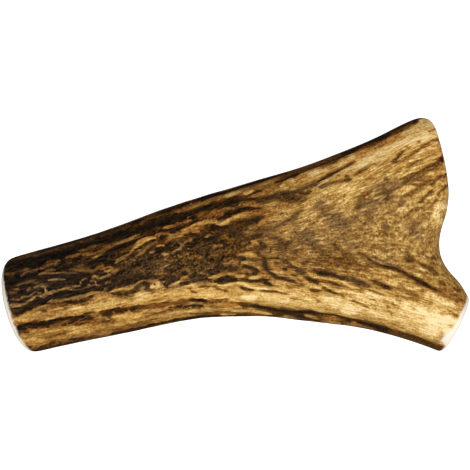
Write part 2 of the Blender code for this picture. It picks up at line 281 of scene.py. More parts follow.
# The furrows, dark with sap and soil, from the upper edge of the beam to the lower edge.
FURROWS = (
    (0.06, -0.3, 13, 5, 281, 20, 281, 40, 279, 60, 277, 76, 277),
    (0.07, -0.2, 6, 8, 297, 20, 296, 34, 293, 50, 287, 64, 285),
    (0.08, -0.1, 8, 70, 283, 90, 282, 104, 280),
    (0.06, 0, 5, 30, 267, 45, 261, 60, 257, 75, 254),
    (0.05, 0, 3, 10, 259, 25, 255, 40, 251, 60, 245.5, 80, 239.5, 100, 233, 120, 226, 140, 217.5,
     160, 210.5, 180, 204, 192, 200.5),
    (0.04, 0, 10, 8, 265, 20, 262, 35, 257.5, 50, 254.5, 65, 251, 78, 246.5, 85, 244),
    (0.05, 0, 6, 80, 245, 90, 243, 100, 240, 110, 239, 120, 236, 130, 233, 140, 231),
    (0.04, 0, 9, 140, 228.5, 150, 227, 158, 223.5),
    (0.04, 0, 7, 158, 223, 166, 220.5, 172, 219, 180, 215.5, 188, 213),
    (0.04, 0, 5.5, 188, 212.5, 196, 211, 205, 208.5, 212, 205, 220, 204),
    (0.12, 0, 2, 176, 208, 184, 205, 190, 203),
    (0.05, 0, 8, 8, 280, 14, 281, 18, 279, 24, 277),
    (0.08, 0, 3, 22, 291, 28, 291, 32, 290),
    (0.05, 0, 5, 14, 313, 18, 313, 22, 311, 27, 308, 32, 304.5, 38, 302, 42, 301, 46, 298.5, 50, 297.5),
    (0.08, 0, 4.5, 50, 297, 56, 297, 60, 296, 66, 293.5, 72, 291.5, 80, 291.5, 86, 292, 90, 290),
    (0.08, 0, 3, 90, 289, 94, 288.5, 101, 289),
    (0.10, 0, 1.8, 11, 302, 17, 302, 22, 301, 27, 299),
    (0.15, 0, 3, 10, 309, 14, 310, 18, 310, 24, 308),
    (0.10, 0, 4, 48, 276, 56, 275.5, 64, 275, 70, 275),
    (0.10, 0, 4, 50, 284, 58, 284, 64, 283),
    (0.08, 0, 4, 64, 268, 72, 266, 74, 263),
    (0.10, 0, 2, 66, 302, 70, 302.5, 76, 303, 80, 302),
    (0.14, 0, 1.8, 80, 302, 84, 300, 88, 298, 91, 296),
    (0.36, 0.3, 2, 50, 305, 56, 304.5, 62, 304),
    (0.06, 0, 5.5, 17, 329, 22, 326.5, 28, 325, 34, 324.5, 40, 324.5, 46, 324, 50, 322),
    (0.06, 0, 4.5, 50, 321.5, 54, 320.5, 60, 319.5, 64, 319),
    (0.10, 0.2, 3, 64, 319, 70, 318, 76, 317.5, 82, 317, 86, 315, 90, 313.5),
    (0.25, 0.2, 2.5, 20, 332, 26, 332, 30, 332),
    (0.36, 0.3, 2, 74, 323, 80, 322),
    (0.36, 0.3, 2.5, 55, 336, 62, 334, 66, 335),
    (0.36, 0.4, 2.5, 48, 342, 58, 341, 68, 340),
    (0.30, 0.2, 1.5, 42, 347, 50, 345.5),
    (0.08, 0, 2, 33, 351, 42, 350.5, 50, 349, 58, 347, 66, 345, 74, 343, 82, 341, 90, 339.5),
    (0.20, 0, 2, 70, 339, 78, 338.5, 84, 337.5, 90, 337),
    (0.38, 0, 2, 80, 331, 84, 332, 88, 331),
    (0.06, 0, 4.5, 100, 257, 104, 255, 110, 252, 115, 249.5, 120, 247, 125, 245, 130, 243, 135, 241),
    (0.06, 0, 3.5, 94, 264, 96, 262, 98, 260, 102, 257),
    (0.09, 0, 5, 84, 267, 90, 266, 96, 264),
    (0.08, 0, 5, 74, 275, 78, 274.5, 84, 275, 90, 274),
    (0.12, 0, 3, 73, 278, 76, 281),
    (0.10, 0, 3.5, 97, 282, 102, 281, 105, 284),
    (0.10, 0, 4, 106, 286, 112, 285, 118, 284, 124, 284),
    (0.10, 0, 6, 112, 278, 122, 278, 132, 276, 142, 275, 150, 275),
    (0.08, 0, 5, 120, 282, 126, 281, 134, 279.5, 140, 279, 150, 278),
    (0.12, 0, 3, 128, 267, 132, 268),
    (0.12, 0, 4, 140, 262, 146, 262, 150, 260),
    (0.25, 0.3, 2, 112, 294, 116, 293.5, 118, 292),
    (0.14, 0, 2.5, 125, 295, 128, 293, 131, 291, 134, 289.5, 137, 287, 139, 285, 143, 283.5),
    (0.18, 0, 3, 138, 286, 142, 286, 147, 288, 150, 286),
    (0.28, 0.2, 2.5, 145, 292, 148, 291, 151, 290, 155, 288.5),
    (0.20, 0.2, 2, 84, 316, 86, 315, 90, 313, 94, 312),
    (0.38, 0.5, 4, 90, 315, 97, 314),
    (0.20, 0.3, 3.5, 100, 312.5, 104, 313, 109, 312, 112, 310.5),
    (0.13, 0.2, 3, 112, 310, 118, 309.5, 122, 310, 127, 309),
    (0.22, 0.2, 3, 127, 309, 132, 308, 138, 307, 142, 306.5, 148, 307.5, 152, 306),
    (0.30, 0.4, 3.2, 150, 306, 156, 305.5, 162, 305, 168, 304, 174, 303.5, 180, 303, 186, 303),
    (0.30, 0, 3, 180, 300, 184, 301, 188, 301.5),
    (0.35, 0.2, 1.8, 82, 322, 88, 321, 92, 321, 95, 323),
    (0.40, 0.3, 2.5, 98, 320, 102, 321),
    (0.34, 0.4, 3, 113, 321, 117, 321.5),
    (0.44, 0.3, 2, 130, 320, 138, 319, 144, 317, 147, 316, 150, 315),
    (0.36, 0.1, 1.8, 116, 327, 122, 326, 128, 326, 134, 325, 140, 323.5, 146, 322.5, 152, 322),
    (0.38, 0.3, 3, 112, 331, 118, 331, 124, 330, 130, 329.5),
    (0.10, 0, 1.8, 112, 334, 120, 333, 130, 331, 137, 329.5, 146, 327.5, 155, 325, 160, 324),
    (0.22, 0, 2.2, 80, 341, 90, 340, 100, 338, 110, 336),
    (0.28, 0, 1.8, 82, 337, 90, 337, 98, 336),
    (0.10, 0, 1.8, 160, 323.5, 172, 321.5, 180, 320, 188, 318.5, 202, 316.5, 220, 316, 245, 315.7,
     266, 316.3, 286, 318.8),
    (0.34, 0, 1.6, 190, 314, 197, 314, 202, 313, 214, 313.5, 220, 312.7, 230, 312.2, 244, 313.2, 262, 315),
    (0.12, 0, 2, 160, 230.3, 168, 230.3, 175, 230),
    (0.08, 0, 4, 176, 230, 179, 228.5, 181, 227),
    (0.14, 0, 2.2, 147, 241, 153, 241, 156, 240),
    (0.12, 0, 3, 160, 237, 163, 238),
    (0.07, 0, 4, 156, 250, 160, 252),
    (0.12, 0, 2.5, 141, 257, 146, 256.5, 150, 256, 155, 255),
    (0.07, 0, 4.5, 167, 246, 172, 248),
    (0.10, 0, 4, 171, 244.5, 177, 243),
    (0.3, 0, 2.5, 182, 239, 186, 238.5),
    (0.12, -0.2, 2.5, 192, 235, 198, 236, 201, 238, 204, 236, 207, 233),
    (0.15, -0.2, 3, 201, 231, 205, 232),
    (0.12, -0.2, 5, 207, 228, 212, 227, 220, 227, 224, 229),
    (0.10, 0, 4, 203, 241, 210, 240, 216, 238, 218, 234),
    (0.16, 0, 4, 197, 249, 208, 249),
    (0.14, 0, 4, 174, 264, 177, 266),
    (0.14, 0, 3.5, 194, 261, 196, 262),
    (0.13, 0, 4, 203, 265, 207, 265),
    (0.14, 0, 3, 193, 270, 197, 271),
    (0.12, 0, 5, 165, 270, 169, 270),
    (0.10, 0, 4.5, 183, 272, 186, 272),
    (0.16, 0, 3, 160, 261, 164, 262),
    (0.14, 0, 3, 150, 264, 156, 266),
    (0.09, 0, 4.5, 166, 275, 170, 278, 175, 278, 180, 276),
    (0.12, 0, 4, 164, 284, 168, 283, 170, 281.5),
    (0.14, 0, 3, 180, 283, 184, 284, 188, 282.5),
    (0.13, 0, 4.5, 192, 276, 197, 276.5, 204, 276),
    (0.11, -0.2, 3.5, 193, 280, 200, 279.5, 207, 279),
    (0.14, -0.2, 3.5, 208, 272.5, 214, 272, 217, 270),
    (0.38, 0.3, 2, 200, 287, 205, 286.5, 209, 287.5),
    (0.40, 0.5, 2.5, 186, 287, 190, 289, 193, 292, 196, 293, 199, 293),
    (0.08, 0, 3, 189, 300.5, 195, 300, 200, 300.5, 206, 301),
    (0.08, 0, 3, 191, 305.5, 195, 305, 199, 306, 203, 306),
    (0.40, 0.3, 2, 210, 307, 215, 308, 220, 309),
    (0.34, 0.2, 2.5, 210, 301, 216, 300.5, 222, 299.5, 228, 299.5),
    # the middle, where the beam begins to spread
    (0.03, 0, 3, 192, 200.5, 210, 196, 218, 193.5, 226, 190.5, 240, 186.5, 260, 180.5, 280, 174.5),
    (0.12, 0, 1.8, 250, 194, 255, 192, 262, 190.5),
    (0.12, 0, 2.5, 224, 201, 228, 200, 233, 198, 238, 197),
    (0.06, 0, 4, 210, 205, 217, 205, 223, 204, 230, 202.5, 236, 201.5, 240, 201),
    (0.20, 0.2, 2.5, 230, 205, 238, 204.5),
    (0.15, 0.2, 2.5, 242, 200.5, 247, 200, 252, 199.5, 257, 198),
    (0.20, -0.2, 6, 258, 201, 264, 199, 270, 197, 276, 196, 283, 195, 290, 195),
    (0.08, 0, 3, 219, 218.5, 224, 217, 229, 214.5, 234, 212.5, 238, 210.5, 243, 209, 248, 208, 254, 207.5,
     260, 208.5),
    (0.15, -0.2, 5, 241, 222.5, 247, 222, 252, 221, 257, 219, 261, 217),
    (0.08, -0.2, 3, 253, 222, 259, 219),
    (0.14, 0, 3.5, 224, 226.5, 231, 227, 236, 228),
    (0.20, -0.2, 8, 230, 231, 237, 232),
    (0.12, -0.3, 3, 221, 229, 224, 230),
    (0.12, -0.3, 3, 220, 240, 223, 241),
    (0.15, 0, 3, 225, 243, 226, 247),
    (0.15, 0, 3.5, 240, 247, 245, 244, 250, 241, 255, 237, 262, 234),
    (0.14, -0.3, 5, 260, 243, 263, 246, 266, 247),
    (0.12, -0.3, 3.5, 270, 249, 272, 250),
    (0.15, 0, 3, 240, 259.5, 246, 259.5),
    (0.28, 0, 2.5, 250, 259, 258, 259.5),
    (0.10, -0.2, 3, 243, 266, 248, 266.5, 252, 268, 257, 270, 259, 272),
    (0.15, 0, 3, 245, 273, 251, 273.5, 257, 274),
    (0.09, 0, 4, 216, 281, 221, 279, 226, 278, 231, 279, 236, 280),
    (0.22, 0.4, 2, 240, 278, 243, 279, 247, 280.3),
    (0.11, -0.1, 2.5, 246, 280.5, 252, 281, 258, 281, 262, 280, 268, 280, 272, 281.5),
    (0.10, -0.2, 3, 264, 283, 269, 284, 272, 285.5),
    (0.12, -0.2, 3.5, 263, 256, 265, 260, 265, 265, 267, 269, 271, 273, 276, 277.5, 284, 279.5, 290, 281,
     296, 282),
    (0.16, -0.2, 3.2, 268, 259.5, 274, 258, 280, 258.5, 286, 261.5, 290, 264, 294, 266, 298, 268),
    (0.18, -0.2, 3, 283, 268, 287, 269.5),
    (0.24, -0.3, 5, 298, 270, 302, 271.5, 303, 275),
    (0.16, 0, 3.5, 222, 268.5, 228, 267, 234, 268, 239, 268),
    (0.35, -0.1, 4, 264, 227, 268, 229),
    (0.28, -0.3, 4, 270, 238, 276, 237, 280, 239),
    (0.26, -0.2, 7, 280, 243, 286, 245),
    (0.25, -0.2, 4, 288, 242, 292, 241),
    (0.24, 0, 3, 240, 304.5, 246, 305, 252, 305.7),
    (0.10, -0.1, 4, 252, 306, 258, 307, 264, 308.2, 270, 309, 276, 310),
    (0.07, 0, 5.5, 276, 310, 283, 310.7, 290, 312, 298, 312.5, 306, 312.5, 312, 313, 318, 314.3),
    (0.24, 0.2, 1.8, 240, 287.5, 244, 289, 248, 290, 254, 290.3),
    (0.28, 0.1, 1.8, 260, 290.7, 268, 291.5, 274, 291.5, 280, 293, 288, 295),
    # the palm
    (0.04, 0, 2.5, 280, 174.7, 290, 171.7, 300, 168.5, 310, 164.8, 320, 161.3, 330, 158, 340, 154.5,
     350, 150.3, 360, 146),
    (0.03, 0, 3.8, 276, 182, 280, 180.7, 285, 179, 290, 176.7, 296, 174.3, 303, 171.5, 310, 169, 316, 166.5,
     322, 164.3),
    (0.05, 0, 2.8, 322, 164, 330, 161, 336, 159, 342, 156.5, 350, 152.5, 358, 148.5),
    (0.03, 0, 3.6, 358, 148, 364, 145, 370, 142, 380, 137.5, 390, 132.5, 400, 127.5, 408, 123.3,
     415, 119.8),
    (0.26, 0.2, 1.3, 280, 177.3, 286, 175, 292, 172.3, 300, 169.7, 310, 166.5, 320, 162.8, 330, 159.3,
     340, 155.5),
    (0.20, 0, 2.5, 320, 167, 326, 165, 334, 162.5, 338, 160.5),
    (0.26, 0.3, 2.5, 360, 149, 370, 145.5, 376, 142.5),
    (0.28, 0.3, 2, 390, 135, 400, 130, 408, 126, 413, 122.5),
    (0.20, 0.1, 2, 415, 118.8, 420, 118.8, 426, 119.3),
    (0.24, -0.3, 8, 278, 195, 286, 194.5, 292, 193.5),
    (0.26, -0.4, 4.5, 292, 193, 297, 191, 303, 188, 309, 186, 315, 183.5, 319, 181),
    (0.11, 0, 3.5, 319, 180.7, 325, 177.5, 330, 174.5, 335, 172, 342, 168.5),
    (0.16, 0.2, 4, 342, 168, 347, 165.5, 351, 163, 355, 161),
    (0.18, 0, 3, 299, 193.5, 307, 193, 311, 191),
    (0.15, 0, 2.5, 292, 197.5, 295, 199),
    (0.25, 0.1, 2.5, 281, 199.5, 290, 199.5),
    (0.35, -0.4, 5, 320, 187, 325, 185, 331, 182.5),
    (0.36, -0.3, 4, 331, 182, 337, 181, 343, 180.5),
    (0.29, -0.3, 5, 344, 180.5, 351, 180),
    (0.26, 0, 1.6, 345, 176.3, 348, 175.6),
    (0.33, -0.1, 2.5, 353, 176, 358, 173.5),
    (0.22, 0, 4, 358, 173, 362, 170, 367, 167),
    (0.30, -0.4, 4.5, 266, 230, 274, 229, 279, 226, 285, 222.5, 290, 219.5, 294, 216, 298, 213, 302, 210),
    (0.40, -0.3, 3, 309, 211, 313, 208, 318, 205, 321, 202),
    (0.41, -0.1, 3, 322, 211, 328, 209, 333, 206, 336, 203),
    (0.41, 0, 1.8, 362, 184, 366, 181, 370, 178, 376, 174, 381, 170, 386, 168, 391, 165.5),
    (0.35, -0.3, 3.5, 355, 207, 360, 202.5, 365, 199.3, 371, 197),
    (0.38, 0.1, 3, 360, 197, 366, 193.5, 371, 191),
    (0.28, -0.3, 4, 357, 208, 361, 206),
    (0.34, 0, 2, 376, 196, 381, 193.3, 386, 190.5),
    (0.28, -0.1, 2, 384, 200, 387, 197, 389, 194),
    (0.28, 0, 2, 383, 188.5, 386, 189),
    (0.33, -0.5, 3, 384, 179, 388, 178),
    (0.35, -0.3, 4, 364, 212, 367, 215, 369, 218, 372, 222),
    (0.30, -0.1, 2.8, 364, 223, 367, 222),
    (0.37, -0.4, 4.5, 384, 224, 387, 226, 386, 229),
    (0.41, -0.4, 4, 353, 214, 354, 218),
    (0.41, -0.4, 5, 358, 226, 360, 230),
    (0.36, 0, 3, 343, 233, 345, 234),
    (0.41, -0.2, 4, 389, 213, 394, 211),
    (0.41, -0.3, 4, 367, 209, 371, 207),
    (0.41, 0.1, 2, 390, 234, 394, 236),
    (0.36, 0.1, 2, 373, 245, 376, 246),
    (0.30, 0, 2.5, 332, 243, 336, 247, 340, 251, 344, 253, 348, 254),
    (0.34, 0.1, 3, 312, 253, 316, 250.5, 320, 248.5),
    (0.30, 0, 2, 320, 252.5, 326, 252),
    (0.34, 0.3, 2, 290, 258.3, 297, 258.7),
    (0.25, -0.1, 3, 301, 263, 304, 264, 307, 261.5),
    (0.36, 0.1, 2.2, 334, 263, 340, 264, 346, 266, 349, 268),
    (0.34, 0.1, 3.5, 351, 262, 357, 264),
    (0.34, 0.4, 3, 346, 273, 350, 273),
    (0.28, -0.1, 2.5, 352, 276, 356, 279),
    (0.14, -0.2, 4, 314, 270, 318, 272, 323, 273.3, 328, 273.5, 333, 274.5, 338, 276.5),
    (0.08, 0, 3, 318, 273, 328, 274),
    (0.18, -0.3, 5, 338, 277, 343, 278, 349, 280, 355, 281, 362, 283, 366, 285),
    (0.30, -0.2, 4, 364, 284, 370, 286),
    (0.14, -0.1, 4, 305, 277, 309, 279, 313, 281, 318, 283),
    (0.18, -0.1, 3.5, 321, 287, 325, 288.5, 329, 291, 334, 293.3, 338, 295),
    (0.24, 0, 3, 310, 290, 316, 291, 321, 291),
    (0.20, 0.1, 2.5, 329, 281, 333, 283, 337, 284.3, 340, 285.5),
    (0.38, 0, 5, 296, 284, 303, 284.5),
    (0.41, 0.3, 1.8, 343, 285, 348, 287.5, 354, 289, 360, 289.5, 366, 289),
    (0.20, -0.1, 3.3, 372, 280.5, 376, 281.5, 381, 284, 386, 287, 391, 289),
    (0.14, 0.1, 2, 381, 285.5, 386, 287.7, 391, 289.3),
    (0.30, 0.1, 3, 369, 290, 374, 291.5, 380, 294, 384, 296),
    (0.28, 0.1, 2, 351, 300.5, 355, 302, 360, 304),
    (0.41, 0.3, 2, 379, 319, 384, 320, 389, 322, 394, 324, 396, 325),
    (0.14, 0, 3, 318, 314, 328, 315, 336, 316, 343, 318, 350, 320),
    (0.12, 0, 4.5, 346, 319.5, 352, 320.8, 360, 322.2),
    (0.06, 0, 5.5, 360, 322.3, 368, 324.3, 376, 326.7, 382, 328.3, 390, 330.3),
    (0.12, 0, 1.6, 286, 319, 296, 320, 304, 321, 312, 322, 320, 323, 330, 324, 340, 325, 350, 326.3),
    (0.10, 0, 2, 296, 316, 302, 316.5, 305, 317.5),
    (0.15, 0, 2, 305, 317.5, 312, 319.3, 318, 321),
    # the two tines
    (0.14, -0.1, 4, 392, 161.5, 395, 160.5, 398, 158.5),
    (0.20, -0.3, 3.5, 397, 157, 400, 154),
    (0.41, 0.2, 2.5, 404, 148, 407, 146.5, 410, 149),
    (0.35, 0, 2.8, 404, 158, 410, 155.5, 413, 153.5, 417, 151, 420, 149.3),
    (0.3, 0.1, 3, 419, 148.5, 424, 146, 428, 143.5, 431, 140.7, 436, 139.3, 440, 138.7),
    (0.34, 0, 3, 405, 167.7, 410, 166, 414, 163.5, 419, 161, 424, 160),
    (0.41, 0, 3, 392, 173, 398, 172),
    (0.24, 0, 3, 403, 179, 408, 177.3, 412, 174.5, 418, 172.3, 424, 169.5),
    (0.26, 0, 3.5, 424, 169.3, 430, 166.3, 435, 163.3, 440, 161),
    (0.10, 0, 4, 438, 161.5, 444, 160),
    (0.12, 0, 3, 441, 158, 444, 155.5),
    (0.36, -0.3, 4.5, 402, 184, 407, 181, 412, 179, 418, 177.5, 424, 175.5),
    (0.28, 0, 3, 422, 172.5, 428, 170.3, 434, 168.3, 438, 166.3, 443, 164.3),
    (0.18, 0.1, 3, 437, 179, 440, 178, 444, 176, 447, 174),
    (0.28, 0, 2.6, 430, 187, 433, 184, 436, 181, 438, 179),
    (0.22, 0.1, 3, 438, 195, 442, 191, 445, 188, 448, 184.7),
    (0.28, 0, 3, 420, 202, 423, 199, 426, 196, 430, 192, 433, 190),
    (0.36, 0.1, 2.8, 419, 190, 423, 185.5, 426, 183),
    (0.35, 0, 3, 406, 196, 410, 193.5, 414, 190.5),
    (0.35, 0.1, 3, 430, 207, 433, 204, 436, 201, 438, 200),
    (0.36, -0.3, 5, 400, 206, 403, 202, 405, 200),
    (0.38, -0.2, 3, 416, 203, 418, 201),
    (0.28, 0.1, 3, 410, 211, 413, 209.5),
    (0.40, 0.1, 3, 416, 211, 418, 208.5),
    (0.30, 0.2, 2.5, 358, 253, 362, 255, 366, 257),
    (0.18, 0, 3.5, 366, 257, 370, 259.5, 375, 262, 379, 264, 384, 265.5),
    (0.10, 0, 3.8, 383, 265.5, 390, 266.8, 396, 268.7),
    (0.16, 0.1, 3.6, 396, 268.7, 402, 271.5, 408, 274.7),
    (0.11, 0, 4.5, 408, 274.7, 414, 278, 420, 281, 425, 284, 431, 287.3),
    (0.18, 0.1, 3.5, 431, 287.3, 436, 290, 441, 292.5),
    (0.36, 0.3, 3.5, 441, 293, 446, 296, 452, 299, 457, 301, 462, 301.5),
    (0.30, 0.1, 5, 404, 258, 408, 257, 413, 259),
    (0.24, 0, 2.5, 406, 257.5, 411, 258.5),
    (0.28, 0.1, 2.5, 407, 261.5, 413, 262),
    (0.28, 0.1, 4, 420, 263, 426, 267, 431, 269, 436, 270),
    (0.28, 0, 3.5, 432, 257, 436, 258.3),
    (0.36, 0.1, 2.5, 417, 250, 419, 251),
    (0.36, 0, 2, 421, 252, 423, 254.5),
    (0.34, 0, 2, 434, 275, 437, 271.5),
    (0.30, 0, 3, 438, 279, 442, 282, 446, 285),
    (0.30, 0, 3, 454, 287.5, 460, 290.5),
    (0.41, 0, 3, 450, 291, 457, 295),
    (0.30, 0.5, 2.5, 459, 300, 463, 300),
    (0.41, -0.1, 3, 396, 288, 402, 287, 405, 289, 410, 290.5),
    (0.38, 0, 3, 407, 291, 413, 293.5, 419, 296),
    (0.40, 0.1, 2, 408, 297, 414, 299, 420, 300),
    (0.55, 0, 2, 419, 303, 424, 305, 428, 307),
    (0.24, 0.2, 4.0, 390, 330.5, 398, 332.5, 406, 335, 414, 338, 420, 340.5, 430, 345, 438, 348, 443, 348),
    (0.18, 0, 2.2, 400, 332.5, 405, 334, 415, 337, 425, 341, 435, 345.3, 442, 347.5),
)
